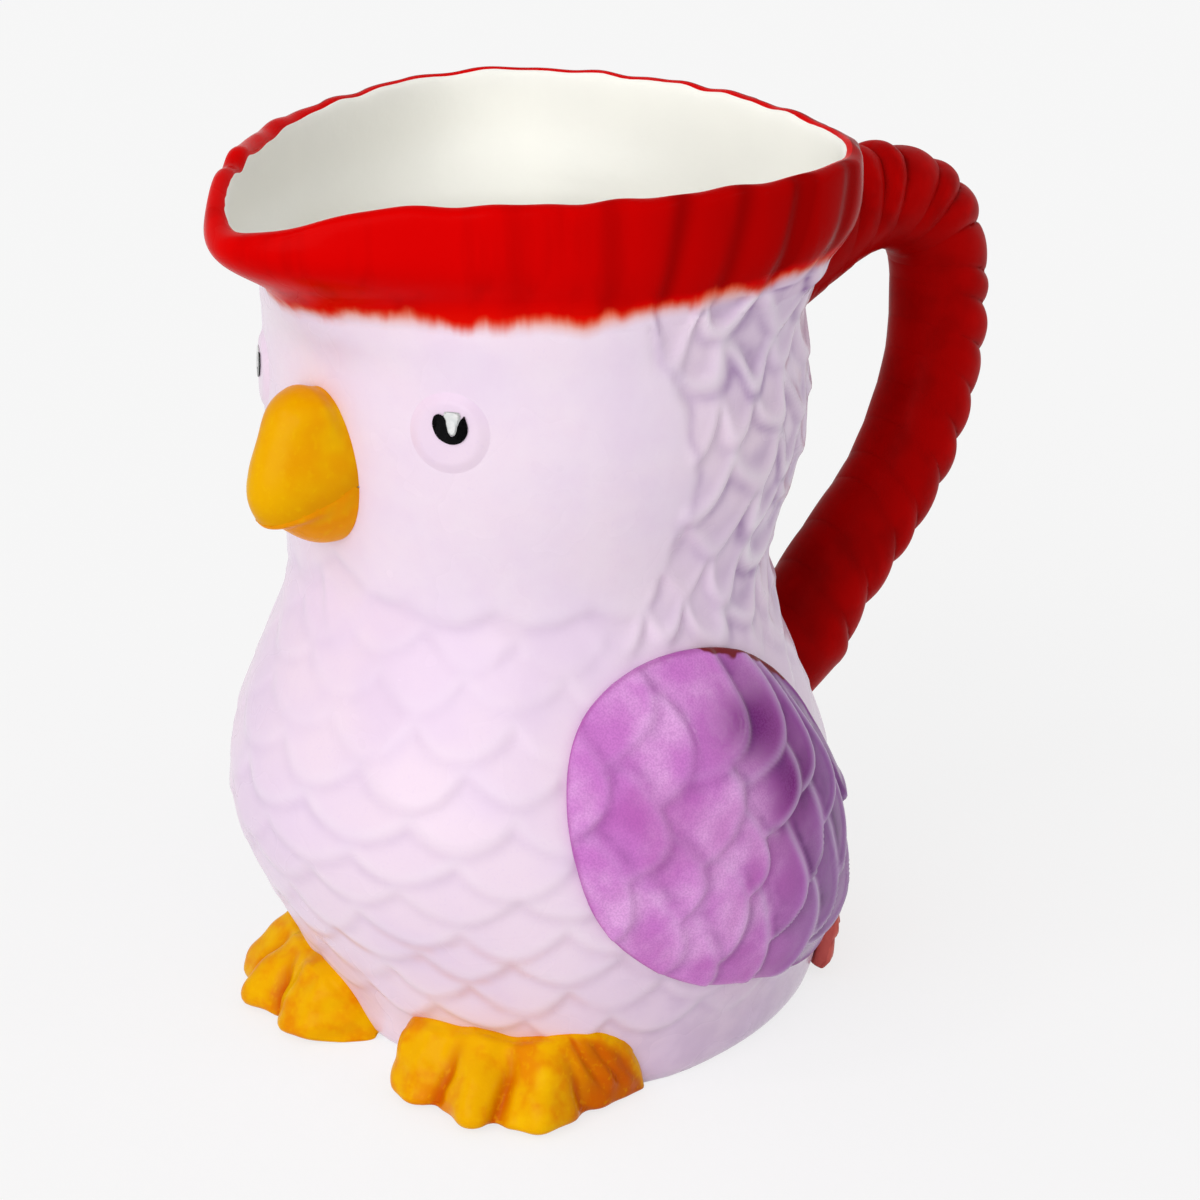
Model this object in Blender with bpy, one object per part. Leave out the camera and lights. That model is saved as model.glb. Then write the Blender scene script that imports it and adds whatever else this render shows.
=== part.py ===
"""Bird-shaped ceramic jug, built as a potter would: cast body, luted rim and handle, pressed sprigs.

Metres, +Z up. The bird looks along -Y, the handle is at +Y, and the bird's left side is +X.
The origin is on the table under the middle of the flat base.
"""
import math

import bmesh
import bpy
import numpy as np

for leftover in list(bpy.data.objects):
    bpy.data.objects.remove(leftover, do_unlink=True)

MM = 0.001
GAP = 0.0003            # luting gap between any two pieces
WALL = 0.005            # thickness of the pot wall, measured level
FLOOR = 0.008           # height of the inside floor
FLOOR_ROUND = 0.0095    # rounding where the inside wall meets the floor
BASE_ROUND = 0.0015     # rounding where the outside wall meets the base
BODY_SIDES = 56
BODY_RINGS = 23
BODY_INSIDE_RINGS = 14
FLOOR_STEPS = 3         # rings in the rounding at the inside floor
GLAZE_ROUGHNESS = 0.18

# Body stations in millimetres: height, half-width, reach to the front, reach to the back
BODY_STATIONS = np.array((
    (0.0, 49.0, 40.0, 66.5),
    (8.0, 52.5, 43.5, 68.5),
    (17.0, 55.5, 48.5, 69.0),
    (30.0, 60.0, 56.0, 68.0),
    (45.0, 62.0, 64.0, 64.5),
    (57.0, 62.0, 67.5, 61.5),
    (70.0, 60.0, 65.5, 57.5),
    (85.0, 54.5, 60.0, 51.0),
    (95.0, 50.5, 55.5, 47.5),
    (105.0, 48.5, 52.0, 46.0),
    (118.0, 51.5, 53.0, 51.5),
    (130.0, 54.5, 54.5, 55.5),
    (142.0, 55.5, 55.0, 55.0),
    (155.0, 54.5, 54.5, 53.0),
    (165.0, 54.0, 54.0, 52.5),
)) * MM

# Crest: plan of the rim, the flare that leads to it, and the dip of the pouring lip
JOINT_HEIGHT = BODY_STATIONS[-1, 0]     # the crest is luted on to the top of the body
FLARE_BELOW = 0.009     # the flare starts this far under the joint
FLARE_ABOVE = 0.013     # and ends this far over it
RIM_HALF_WIDTH = 0.0576
RIM_BACK = 0.0530
CREST_HEIGHT = 0.0244   # rim over the joint, at the sides
LIP_REACH = 0.0205      # how far the pouring lip stands out of the rim
LIP_SPREAD = 23.5       # degrees
LIP_POWER = 1.7
LIP_DIP = 0.008
LIP_DIP_SPREAD = 14.5   # degrees
CORNER_REACH = 0.0112   # the rim is widest a little behind the sides
CORNER_ANGLE = 121.0    # degrees
CORNER_SPREAD = 26.0    # degrees
BACK_RISE = 0.0032
BACK_RISE_SPREAD = 66.0  # degrees
RIM_ROUND = 0.0024      # height of the rounded edge of the rim
CREST_SIDES = 76
CREST_RINGS = 6         # on each side of the wall
RIM_STEPS = 4           # flats across the rounded edge

# Handle stations in millimetres: reach to the back, height, half-depth, half-width
HANDLE_STATIONS = np.array((
    (66.0, 157.5, 20.0, 12.4),
    (79.0, 159.6, 16.0, 11.8),
    (90.0, 161.2, 13.2, 11.2),
    (101.0, 161.2, 12.0, 11.0),
    (109.2, 158.8, 12.0, 11.0),
    (116.3, 153.6, 12.0, 11.0),
    (120.0, 145.6, 12.0, 11.0),
    (120.8, 136.2, 12.0, 11.0),
    (119.6, 120.0, 12.0, 11.0),
    (115.6, 108.8, 12.0, 11.0),
    (106.4, 93.5, 12.0, 11.0),
    (94.4, 82.2, 12.0, 11.0),
    (84.4, 72.8, 12.2, 11.2),
    (77.5, 63.8, 13.2, 11.8),
)) * MM
HANDLE_TOP_HEADING = (-1.0, -0.02)      # level and upward parts of the way in to the crest
HANDLE_FOOT_HEADING = (-0.90, -0.44)    # the same for the way in to the belly
HANDLE_ROOT_GROWTH = 1.1                # the root's outline over the end station's
HANDLE_ROOT_EASE = 0.45                 # share of the growth at the ring before the wall
HANDLE_SEAT_SHARES = (0.72, 0.36)       # rings on the seat, as shares of the end station's
HANDLE_RIBS = 18
HANDLE_RIB_HEIGHT = 0.0011
HANDLE_RINGS_PER_RIB = 4
HANDLE_SIDES = 12

# Beak: one egg on the face, parted by a sloping crease
BEAK_BELOW_JOINT = 0.032
BEAK_HEIGHT = JOINT_HEIGHT - BEAK_BELOW_JOINT
BEAK_HALF_WIDTH = 0.0103
BEAK_UP = 0.016
BEAK_DOWN = 0.0165
BEAK_REACH = 0.0166
BEAK_DROOP = 0.004      # the tip hangs this far under the middle
BEAK_EDGE = 0.0006      # thickness of the edge on the face
BEAK_TAPER = 0.10       # share that the egg narrows towards its top
BEAK_CHIN = 0.12        # share that it falls back towards its bottom
CREASE_DROP = 0.0025    # the crease meets the face this far under the egg's middle
CREASE_SLOPE = 0.44     # fall of the crease for each step forward
BEAK_SPOKES = 28
BEAK_RINGS = (1.0, 0.985, 0.94, 0.87, 0.76, 0.6, 0.4, 0.2)
BEAK_UNDER_RINGS = 3
CREASE_SNAP = 0.00002   # points this close to the crease are taken to lie on it

# Eyes: raised disc, and on it a pale spot inside a black U
EYE_ANGLE = 33.3        # degrees to each side of the front
EYE_BELOW_JOINT = 0.0195
EYE_HEIGHT = JOINT_HEIGHT - EYE_BELOW_JOINT
EYE_RADIUS = 0.008
EYE_RISE = 0.0012
EYE_EDGE = 0.0004
EYE_DOME = 0.8          # lower values make the disc flatter on top
EYE_SPOKES = 24
EYE_RINGS = (1.0, 0.9, 0.75, 0.55, 0.3)
EYE_UNDER_RINGS = 2
ENAMEL = 0.0005         # thickness of the thick eye enamel
ENAMEL_ROUND = 0.45     # share of it that is rounded off at the edges
SPOT_HALF_WIDTH = 0.0009
SPOT_TOP = 0.0030       # over the middle of the eye, as are the next two
SPOT_BOTTOM = -0.0001
PUPIL_TOP = 0.0024
PUPIL_ARM = 0.0011      # half-width of the painted stroke
PUPIL_SHARES = (-1.0, -0.5, 0.0, 0.5, 1.0)      # points across the stroke
PUPIL_BENDS = 9         # points round the bend of the U
SPOT_RINGS = (1.0, 0.8, 0.4)

# Wing outline on the unrolled wall in millimetres: round towards the back, height
WING_ANGLE = 93.0       # degrees from the front to the outline's zero
WING_ROLL = 0.060       # radius that the outline is unrolled at
WING_RISE = 0.0042
WING_EDGE = 0.0016
WING_DOME = 0.6         # lower values make the pad flatter on top
WING_SPOKES = 34
WING_RINGS = (1.0, 0.97, 0.9, 0.8, 0.66, 0.5, 0.32, 0.16)
WING_UNDER_RINGS = 6
WING_MIDDLE = (2.0, 58.0)
WING_OUTLINE = (
    (-41.0, 74.0), (-38.0, 86.0), (-27.0, 93.5), (-9.0, 96.0), (10.0, 91.0), (23.0, 80.5),
    (31.0, 67.0), (38.5, 54.0), (45.0, 41.0), (49.0, 29.5), (46.0, 20.0), (36.0, 16.5),
    (22.0, 18.5), (6.0, 23.0), (-14.0, 28.0), (-27.0, 36.5), (-35.0, 46.0), (-39.5, 59.5),
)

# Tail: a fan on the back that fills the room between the wing tips
TAIL_ROLL = 0.066
TAIL_TO_WING = 0.0055   # clearance from the wing tips, measured round the wall
TAIL_TOP = 0.0355
TAIL_SIDE = 0.010       # height of the fan's outer corners
TAIL_BOTTOM = 0.0020
TAIL_LOBES = 5
TAIL_LOBE_DEPTH = 0.0026
TAIL_RIDGE_POWER = 1.2  # how quickly the upper edge falls to the corners
TAIL_HEM_POWER = 0.5    # the same for the lower edge
TAIL_RISE = 0.0068
TAIL_EDGE = 0.0026
TAIL_DOME = 0.5         # lower values make the pad flatter on top
TAIL_SPOKES = 40
TAIL_RINGS = (1.0, 0.96, 0.88, 0.75, 0.55, 0.3)
TAIL_UNDER_RINGS = 6

# Foot: each row is an angle from the front, the reach of the toes past the wall, and the height
FOOT_STATIONS = np.array((
    (9.0, 0.8, 3.0),
    (12.5, 10.5, 12.0),
    (18.5, 16.5, 15.5),
    (25.0, 17.5, 16.0),
    (29.5, 17.5, 15.8),
    (34.5, 21.5, 16.8),
    (39.0, 21.0, 16.3),
    (42.5, 19.5, 15.3),
    (48.0, 21.5, 16.3),
    (53.5, 18.0, 17.8),
    (58.0, 12.5, 18.0),
    (63.0, 8.5, 17.0),
    (67.5, 5.5, 14.5),
    (71.5, 3.0, 10.5),
    (75.0, 0.8, 3.0),
))
FOOT_ROUND = 1.5        # higher values keep the toes fuller towards the top
FOOT_STEPS = 2          # sections for each station
FOOT_UP_SHARES = (0.0, 0.2, 0.4, 0.58, 0.75, 0.9)   # points up the toes, as shares of the height
FOOT_DOWN_SHARES = (1.0, 0.75, 0.5, 0.25)           # points down the seat on the wall

LILAC = (0.84, 0.72, 0.87, 1.0)
RED = (0.60, 0.006, 0.006, 1.0)
ORANGE = (0.82, 0.36, 0.015, 1.0)
PURPLE = (0.42, 0.10, 0.45, 1.0)
BLACK = (0.010, 0.010, 0.012, 1.0)
PALE_GREY = (0.75, 0.76, 0.77, 1.0)


def smooth_curve(keys, values, wanted):
    """Cubic curve through the rows of values, with slopes taken from the neighbours."""
    keys = np.asarray(keys, float)
    values = np.asarray(values, float)
    wanted = np.asarray(wanted, float)
    slopes = np.gradient(values, keys, axis=0)
    where = np.clip(np.searchsorted(keys, wanted, side="right") - 1, 0, len(keys) - 2)
    span = keys[where + 1] - keys[where]
    part = (np.clip(wanted, keys[0], keys[-1]) - keys[where]) / span
    shape = part.shape + (1,) * (values.ndim - 1)
    part = part.reshape(shape)
    span = span.reshape(shape)
    first = (1 + 2 * part) * (1 - part) ** 2 * values[where]
    second = part ** 2 * (3 - 2 * part) * values[where + 1]
    leave = part * (1 - part) ** 2 * span * slopes[where]
    arrive = part ** 2 * (part - 1) * span * slopes[where + 1]
    return first + second + leave + arrive


def oval(angle, half_width, front, back):
    """Radius of a plan that reaches differently to the front, the sides and the back."""
    along = np.cos(angle)
    across = np.sin(angle)
    reach = np.where(along > 0, front, back)
    return 1.0 / np.sqrt((across / half_width) ** 2 + (along / reach) ** 2)


def bell(distance, spread, power=2.0):
    return np.exp(-(np.abs(distance) / spread) ** power)


def rim_radius(angle):
    turn = np.abs(np.degrees(angle))
    radius = oval(angle, RIM_HALF_WIDTH, RIM_HALF_WIDTH, RIM_BACK)
    radius = radius + LIP_REACH * bell(turn, LIP_SPREAD, LIP_POWER)
    return radius + CORNER_REACH * bell(turn - CORNER_ANGLE, CORNER_SPREAD)


def rim_height(angle):
    turn = np.abs(np.degrees(angle))
    dip = LIP_DIP * bell(turn, LIP_DIP_SPREAD)
    return JOINT_HEIGHT + CREST_HEIGHT - dip + BACK_RISE * bell(180.0 - turn, BACK_RISE_SPREAD)


def wrapped(angle):
    return (np.asarray(angle, float) + math.pi) % (2 * math.pi) - math.pi


def outer_radius(angle, height):
    """Outside of body and crest: the stations, plus the flare that leads out to the rim."""
    angle = wrapped(angle)
    height = np.asarray(height, float)
    rows = smooth_curve(BODY_STATIONS[:, 0], BODY_STATIONS[:, 1:], height)
    body = oval(angle, rows[..., 0], rows[..., 1], rows[..., 2])
    last = BODY_STATIONS[-1, 1:]
    top = oval(angle, last[0], last[1], last[2])
    rise = np.clip((height - JOINT_HEIGHT + FLARE_BELOW) / (FLARE_BELOW + FLARE_ABOVE), 0.0, 1.0)
    return body + (rim_radius(angle) - top) * rise * rise * (3 - 2 * rise)


def wall_point(angle, height, inset=0.0):
    radius = outer_radius(angle, height) - inset
    return np.stack((radius * np.sin(angle), -radius * np.cos(angle), height + 0 * radius), axis=-1)


def lifted_point(angle, height, lift):
    """Point over the outside wall, lifted along the wall's own normal."""
    step = 0.0005
    turn = 0.01
    round_way = wall_point(angle + turn, height) - wall_point(angle - turn, height)
    up_way = wall_point(angle, height + step) - wall_point(angle, height - step)
    normal = np.cross(round_way, up_way)
    normal = normal / np.linalg.norm(normal, axis=-1, keepdims=True)
    return wall_point(angle, height) + normal * np.asarray(lift, float)[..., None]


def make_material(name, colour):
    material = bpy.data.materials.new(name)
    material.use_nodes = True
    shader = material.node_tree.nodes["Principled BSDF"]
    shader.inputs["Base Color"].default_value = colour
    shader.inputs["Roughness"].default_value = GLAZE_ROUGHNESS
    return material


def make_object(name, points, faces, colour, mirrored=False):
    """One closed piece with faces turned outward and its own glaze."""
    points = np.array(points, float)
    if mirrored:
        points[:, 0] = -points[:, 0]
    mesh = bpy.data.meshes.new(name)
    mesh.from_pydata([tuple(point) for point in points], [], faces)
    work = bmesh.new()
    work.from_mesh(mesh)
    bmesh.ops.recalc_face_normals(work, faces=work.faces)
    for face in work.faces:
        face.smooth = True
    work.to_mesh(mesh)
    work.free()
    mesh.materials.append(make_material(name + "_glaze", colour))
    piece = bpy.data.objects.new(name, mesh)
    bpy.context.collection.objects.link(piece)
    return piece


def ring_faces(first, second, count):
    """Quads between two closed rings that start at the given point numbers."""
    faces = []
    for number in range(count):
        after = (number + 1) % count
        faces.append((first + number, first + after, second + after, second + number))
    return faces


def fan_faces(ring, middle, count):
    return [(ring + number, ring + (number + 1) % count, middle) for number in range(count)]


def lofted(rings, middles=()):
    """Points and faces of a closed skin over rings of equal count.

    With two middles the end rings close on them, and without any the end rings join each other."""
    count = len(rings[0])
    last = (len(rings) - 1) * count
    points = np.concatenate(rings)
    faces = []
    for number in range(len(rings) - 1):
        faces += ring_faces(number * count, (number + 1) * count, count)
    if len(middles):
        faces += fan_faces(0, len(points), count)
        faces += fan_faces(last, len(points) + 1, count)
        points = np.concatenate((points, middles))
    else:
        faces += ring_faces(last, 0, count)
    return points, faces


def make_body():
    angle = np.linspace(-math.pi, math.pi, BODY_SIDES, endpoint=False)
    level = np.ones(BODY_SIDES)
    rings = [wall_point(angle, 0 * level, BASE_ROUND)]
    for height in np.linspace(BASE_ROUND, JOINT_HEIGHT, BODY_RINGS):
        rings.append(wall_point(angle, height * level))
    for height in np.linspace(JOINT_HEIGHT, FLOOR + FLOOR_ROUND, BODY_INSIDE_RINGS):
        rings.append(wall_point(angle, height * level, WALL))
    for bend in np.linspace(0.0, 0.5 * math.pi, FLOOR_STEPS + 1)[1:]:
        height = FLOOR + FLOOR_ROUND * (1 - math.sin(bend))
        rings.append(wall_point(angle, height * level, WALL + FLOOR_ROUND * (1 - math.cos(bend))))
    middles = (rings[0].mean(axis=0), rings[-1].mean(axis=0))
    make_object("body_shell", *lofted(rings, middles), LILAC)


def make_crest():
    angle = np.linspace(-math.pi, math.pi, CREST_SIDES, endpoint=False)
    bottom = JOINT_HEIGHT + GAP
    shoulder = rim_height(angle) - RIM_ROUND
    shares = np.linspace(0.0, 1.0, CREST_RINGS)
    rings = []
    for share in shares:
        rings.append(wall_point(angle, bottom + (shoulder - bottom) * share))
    for bend in np.linspace(0.0, math.pi, RIM_STEPS + 1)[1:-1]:
        ring = wall_point(angle, shoulder, 0.5 * WALL * (1 - math.cos(bend)))
        ring[:, 2] += RIM_ROUND * math.sin(bend)
        rings.append(ring)
    for share in shares[::-1]:
        rings.append(wall_point(angle, bottom + (shoulder - bottom) * share, WALL))
    make_object("crest_rim", *lofted(rings), RED)


def to_wall(point, heading):
    """Slide a point along the heading until it is one luting gap off the outside wall."""
    step = 0.001
    halvings = 40

    def clear(distance):
        place = point + distance * heading
        angle = math.atan2(place[0], -place[1])
        return math.hypot(place[0], place[1]) - float(outer_radius(angle, place[2])) - GAP

    near = 0.0
    while clear(near) < 0:
        near -= step
    far = near
    while clear(far) > 0:
        far += step
    near = far - step
    for _ in range(halvings):
        half = 0.5 * (near + far)
        if clear(half) > 0:
            near = half
        else:
            far = half
    return point + near * heading


def handle_end(ring, heading):
    """Rings from the last free ring of the handle to its seat on the wall, and the seat's middle."""
    heading = np.array((0.0,) + heading)
    heading = heading / np.linalg.norm(heading)
    middle = ring.mean(axis=0)
    seats = []
    for scale in (HANDLE_ROOT_GROWTH,) + HANDLE_SEAT_SHARES:
        seats.append(np.array([to_wall(middle + scale * (spot - middle), heading) for spot in ring]))
    between = HANDLE_ROOT_EASE * seats[0] + (1 - HANDLE_ROOT_EASE) * ring
    return [between] + seats, to_wall(middle, heading)


def make_handle():
    steps = np.linalg.norm(np.diff(HANDLE_STATIONS[:, :2], axis=0), axis=1)
    lengths = np.concatenate(((0.0,), np.cumsum(steps)))
    rings_wanted = HANDLE_RIBS * HANDLE_RINGS_PER_RIB + 1
    along = np.linspace(0.0, lengths[-1], rings_wanted)
    rows = smooth_curve(lengths, HANDLE_STATIONS, along)
    way = np.gradient(rows[:, :2], along, axis=0)
    way = way / np.linalg.norm(way, axis=1, keepdims=True)
    turn = np.linspace(0.0, 2 * math.pi, HANDLE_SIDES, endpoint=False)
    rings = []
    for number in range(rings_wanted):
        back, height, depth, width = rows[number]
        outward = np.array((0.0, -way[number, 1], way[number, 0]))
        beat = number % HANDLE_RINGS_PER_RIB
        swell = HANDLE_RIB_HEIGHT * math.sin(math.pi * beat / HANDLE_RINGS_PER_RIB)
        grown_depth = depth + swell * np.clip(np.cos(turn), 0.0, 1.0)
        ring = np.array((0.0, back, height)) + np.outer(grown_depth * np.cos(turn), outward)
        ring[:, 0] += (width + swell) * np.sin(turn)
        rings.append(ring)
    top_rings, top_middle = handle_end(rings[0], HANDLE_TOP_HEADING)
    foot_rings, foot_middle = handle_end(rings[-1], HANDLE_FOOT_HEADING)
    rings = top_rings[::-1] + rings + foot_rings
    make_object("handle", *lofted(rings, (top_middle, foot_middle)), RED)


def closed_outline(corners, count):
    """Even walk round a smooth closed line through the corners."""
    corners = np.array(corners, float)
    overlap = 3
    loop = np.concatenate((corners[-overlap:], corners, corners[:overlap + 1]))
    steps = np.linalg.norm(np.diff(loop, axis=0), axis=1)
    lengths = np.concatenate(((0.0,), np.cumsum(steps)))
    wanted = np.linspace(lengths[overlap], lengths[overlap + len(corners)], count, endpoint=False)
    return smooth_curve(lengths, loop, wanted)


def pad_mesh(outline, middle, rings, under_rings, place, lift, rise):
    """Pad on the wall: rings shrink from the outline to the middle, on top and underneath.

    place turns flat outline points into an angle and a height, lift is the underside over the wall,
    and rise is the thickness for a share of the way out from the middle. The underside has
    under_rings even rings, enough for its flats to stay off the round wall."""
    outline = np.asarray(outline, float)
    middle = np.asarray(middle, float)
    count = len(outline)
    points = []
    faces = []
    for upper in (True, False):
        first = sum(len(group) for group in points)
        shares = rings if upper else np.arange(under_rings, 0, -1) / under_rings
        for share in shares:
            flat = middle + share * (outline - middle)
            angle, height = place(flat)
            over = lift(flat)
            if upper:
                over = over + rise(share, flat)
            points.append(lifted_point(angle, height, over))
        flat = middle[None, :]
        angle, height = place(flat)
        over = lift(flat)
        if upper:
            over = over + rise(0.0, flat)
        points.append(lifted_point(angle, height, over))
        for number in range(len(shares) - 1):
            faces += ring_faces(first + number * count, first + (number + 1) * count, count)
        last = first + (len(shares) - 1) * count
        faces += fan_faces(last, last + count, count)
        if upper:
            top_rim = first
        else:
            faces += ring_faces(top_rim, first, count)
    return np.concatenate(points), faces


def on_roll(start_angle, roll):
    """Place for an outline that is unrolled about a start angle, with absolute heights."""
    def place(flat):
        return math.radians(start_angle) + flat[:, 0] / roll, flat[:, 1]
    return place


def plain_lift(flat):
    return np.full(len(flat), GAP)


def make_wings():
    outline = closed_outline(WING_OUTLINE, WING_SPOKES) * MM
    middle = np.array(WING_MIDDLE) * MM

    def rise(share, flat):
        dome = WING_EDGE + (WING_RISE - WING_EDGE) * (1 - share ** 2) ** WING_DOME
        return np.full(len(flat), dome)

    place = on_roll(WING_ANGLE, WING_ROLL)
    points, faces = pad_mesh(outline, middle, WING_RINGS, WING_UNDER_RINGS, place, plain_lift, rise)
    make_object("wing_left", points, faces, PURPLE)
    make_object("wing_right", points, faces, PURPLE, mirrored=True)


def make_tail():
    wing_tip = math.radians(WING_ANGLE) + max(corner[0] for corner in WING_OUTLINE) * MM / WING_ROLL
    reach = (math.pi - wing_tip) * TAIL_ROLL - TAIL_TO_WING
    middle = np.array((0.0, 0.5 * (TAIL_SIDE + 0.5 * (TAIL_TOP + TAIL_BOTTOM))))
    turn = np.linspace(0.0, 2 * math.pi, TAIL_SPOKES, endpoint=False)
    across = np.sin(turn)
    ridge = TAIL_SIDE + (TAIL_TOP - TAIL_SIDE) * np.abs(np.cos(turn)) ** TAIL_RIDGE_POWER
    scallop = TAIL_LOBE_DEPTH * np.cos(0.5 * math.pi * TAIL_LOBES * across) ** 2
    hem = TAIL_SIDE - (TAIL_SIDE - TAIL_BOTTOM) * np.abs(np.cos(turn)) ** TAIL_HEM_POWER
    hem = hem + scallop * np.cos(turn) ** 2
    outline = np.stack((reach * across, np.where(np.cos(turn) > 0, ridge, hem)), axis=-1)

    def rise(share, flat):
        dome = TAIL_EDGE + (TAIL_RISE - TAIL_EDGE) * (1 - share ** 2) ** TAIL_DOME
        return np.full(len(flat), dome)

    place = on_roll(180.0, TAIL_ROLL)
    points, faces = pad_mesh(outline, middle, TAIL_RINGS, TAIL_UNDER_RINGS, place, plain_lift, rise)
    make_object("tail", points, faces, RED)


def make_beak():
    """The egg is drawn once, then parted at the crease into the two halves of the beak."""
    turn = np.linspace(0.0, 2 * math.pi, BEAK_SPOKES, endpoint=False)
    across = BEAK_HALF_WIDTH * np.sin(turn) * (1 - BEAK_TAPER * np.cos(turn))
    along = np.where(np.cos(turn) > 0, BEAK_UP, BEAK_DOWN) * np.cos(turn)
    outline = np.stack((across, BEAK_HEIGHT + along), axis=-1)
    middle = np.array((0.0, BEAK_HEIGHT))
    roll = float(outer_radius(0.0, BEAK_HEIGHT))
    points, faces = pad_mesh(outline, middle, BEAK_RINGS, BEAK_UNDER_RINGS, on_roll(0.0, roll), plain_lift,
                             lambda share, flat: np.full(len(flat), BEAK_EDGE))
    share_of_point = [share for share in BEAK_RINGS for _ in range(BEAK_SPOKES)] + [0.0]
    for number, share in enumerate(share_of_point):
        swell = math.sqrt(1 - share ** 2)
        below = max(0.0, BEAK_HEIGHT - points[number, 2]) / BEAK_DOWN
        points[number, 0] *= 1 - BEAK_TAPER * swell * share
        points[number, 1] -= BEAK_REACH * swell * (1 - BEAK_CHIN * below)
        points[number, 2] -= BEAK_DROOP * swell ** 2
    slope = math.hypot(1.0, CREASE_SLOPE)
    cut_normal = (0.0, -CREASE_SLOPE / slope, 1.0 / slope)
    for name, side in (("beak_upper", 1.0), ("beak_lower", -1.0)):
        piece = make_object(name, points, faces, ORANGE)
        cut_at = (0.0, -roll, BEAK_HEIGHT - CREASE_DROP + side * 0.5 * GAP * slope)
        work = bmesh.new()
        work.from_mesh(piece.data)
        everything = work.verts[:] + work.edges[:] + work.faces[:]
        bmesh.ops.bisect_plane(work, geom=everything, dist=CREASE_SNAP, plane_co=cut_at,
                               plane_no=cut_normal, clear_inner=side > 0, clear_outer=side < 0)
        rim = [edge for edge in work.edges if edge.is_boundary]
        bmesh.ops.edgenet_fill(work, edges=rim)
        for edge in rim:
            edge.smooth = False
        bmesh.ops.triangulate(work, faces=[face for face in work.faces if len(face.verts) > 4])
        bmesh.ops.recalc_face_normals(work, faces=work.faces)
        work.to_mesh(piece.data)
        work.free()


def eye_rise(flat):
    share = np.clip(np.linalg.norm(flat - np.array((0.0, EYE_HEIGHT)), axis=1) / EYE_RADIUS, 0.0, 1.0)
    return EYE_EDGE + (EYE_RISE - EYE_EDGE) * (1 - share ** 2) ** EYE_DOME


def enamel_lift(flat):
    return GAP + eye_rise(flat) + GAP


def enamel_crown(share):
    """Thickness of the enamel for a share of the way out to its edge."""
    return ENAMEL * (1 - ENAMEL_ROUND * share ** 2)


def stroke_mesh(path, half_width, place):
    """Painted stroke of even width along a path, lying on the eye disc."""
    path = np.asarray(path, float)
    way = np.gradient(path, axis=0)
    way = way / np.linalg.norm(way, axis=1, keepdims=True)
    side = np.stack((-way[:, 1], way[:, 0]), axis=-1)
    points = []
    for upper in (True, False):
        for share in PUPIL_SHARES:
            flat = path + share * half_width * side
            over = enamel_lift(flat)
            if upper:
                over = over + enamel_crown(share)
            angle, height = place(flat)
            points.append(lifted_point(angle, height, over))
    count = len(path)
    lines = len(PUPIL_SHARES)
    around = list(range(lines)) + list(range(2 * lines - 1, lines - 1, -1))
    faces = []
    for here, after in zip(around, around[1:] + around[:1]):
        for step in range(count - 1):
            near = here * count + step
            beside = after * count + step
            faces.append((near, near + 1, beside + 1, beside))
    for step in (0, count - 1):
        for line in range(lines - 1):
            over = line * count + step
            under = over + lines * count
            faces.append((over, over + count, under + count, under))
    return np.concatenate(points), faces


def make_eyes():
    roll = float(outer_radius(math.radians(EYE_ANGLE), EYE_HEIGHT))
    place = on_roll(EYE_ANGLE, roll)
    turn = np.linspace(0.0, 2 * math.pi, EYE_SPOKES, endpoint=False)
    circle = np.stack((np.sin(turn), np.cos(turn)), axis=-1)
    middle = np.array((0.0, EYE_HEIGHT))
    mound = pad_mesh(middle + EYE_RADIUS * circle, middle, EYE_RINGS, EYE_UNDER_RINGS, place, plain_lift,
                     lambda share, flat: eye_rise(flat))
    spot_middle = np.array((0.0, EYE_HEIGHT + 0.5 * (SPOT_TOP + SPOT_BOTTOM)))
    spot_shape = np.array((SPOT_HALF_WIDTH, 0.5 * (SPOT_TOP - SPOT_BOTTOM)))
    spot_line = spot_middle + spot_shape * circle[::2]
    spot = pad_mesh(spot_line, spot_middle, SPOT_RINGS, EYE_UNDER_RINGS, place, enamel_lift,
                    lambda share, flat: np.full(len(flat), enamel_crown(share)))
    reach = SPOT_HALF_WIDTH + GAP + PUPIL_ARM
    bend_height = SPOT_BOTTOM - GAP - PUPIL_ARM + reach
    bend = np.linspace(-0.5 * math.pi, 0.5 * math.pi, PUPIL_BENDS)
    arc = np.stack((reach * np.sin(bend), bend_height - reach * np.cos(bend)), axis=-1)
    arm_heights = np.array((PUPIL_TOP, 0.5 * (PUPIL_TOP + bend_height)))
    left_arm = np.stack((np.full(2, -reach), arm_heights), axis=-1)
    right_arm = np.stack((np.full(2, reach), arm_heights[::-1]), axis=-1)
    pupil = stroke_mesh(np.concatenate((left_arm, arc, right_arm)) + middle, PUPIL_ARM, place)
    for side, mirrored in (("left", False), ("right", True)):
        make_object("eye_mound_" + side, *mound, LILAC, mirrored=mirrored)
        make_object("eye_white_" + side, *spot, PALE_GREY, mirrored=mirrored)
        make_object("pupil_" + side, *pupil, BLACK, mirrored=mirrored)


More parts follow.
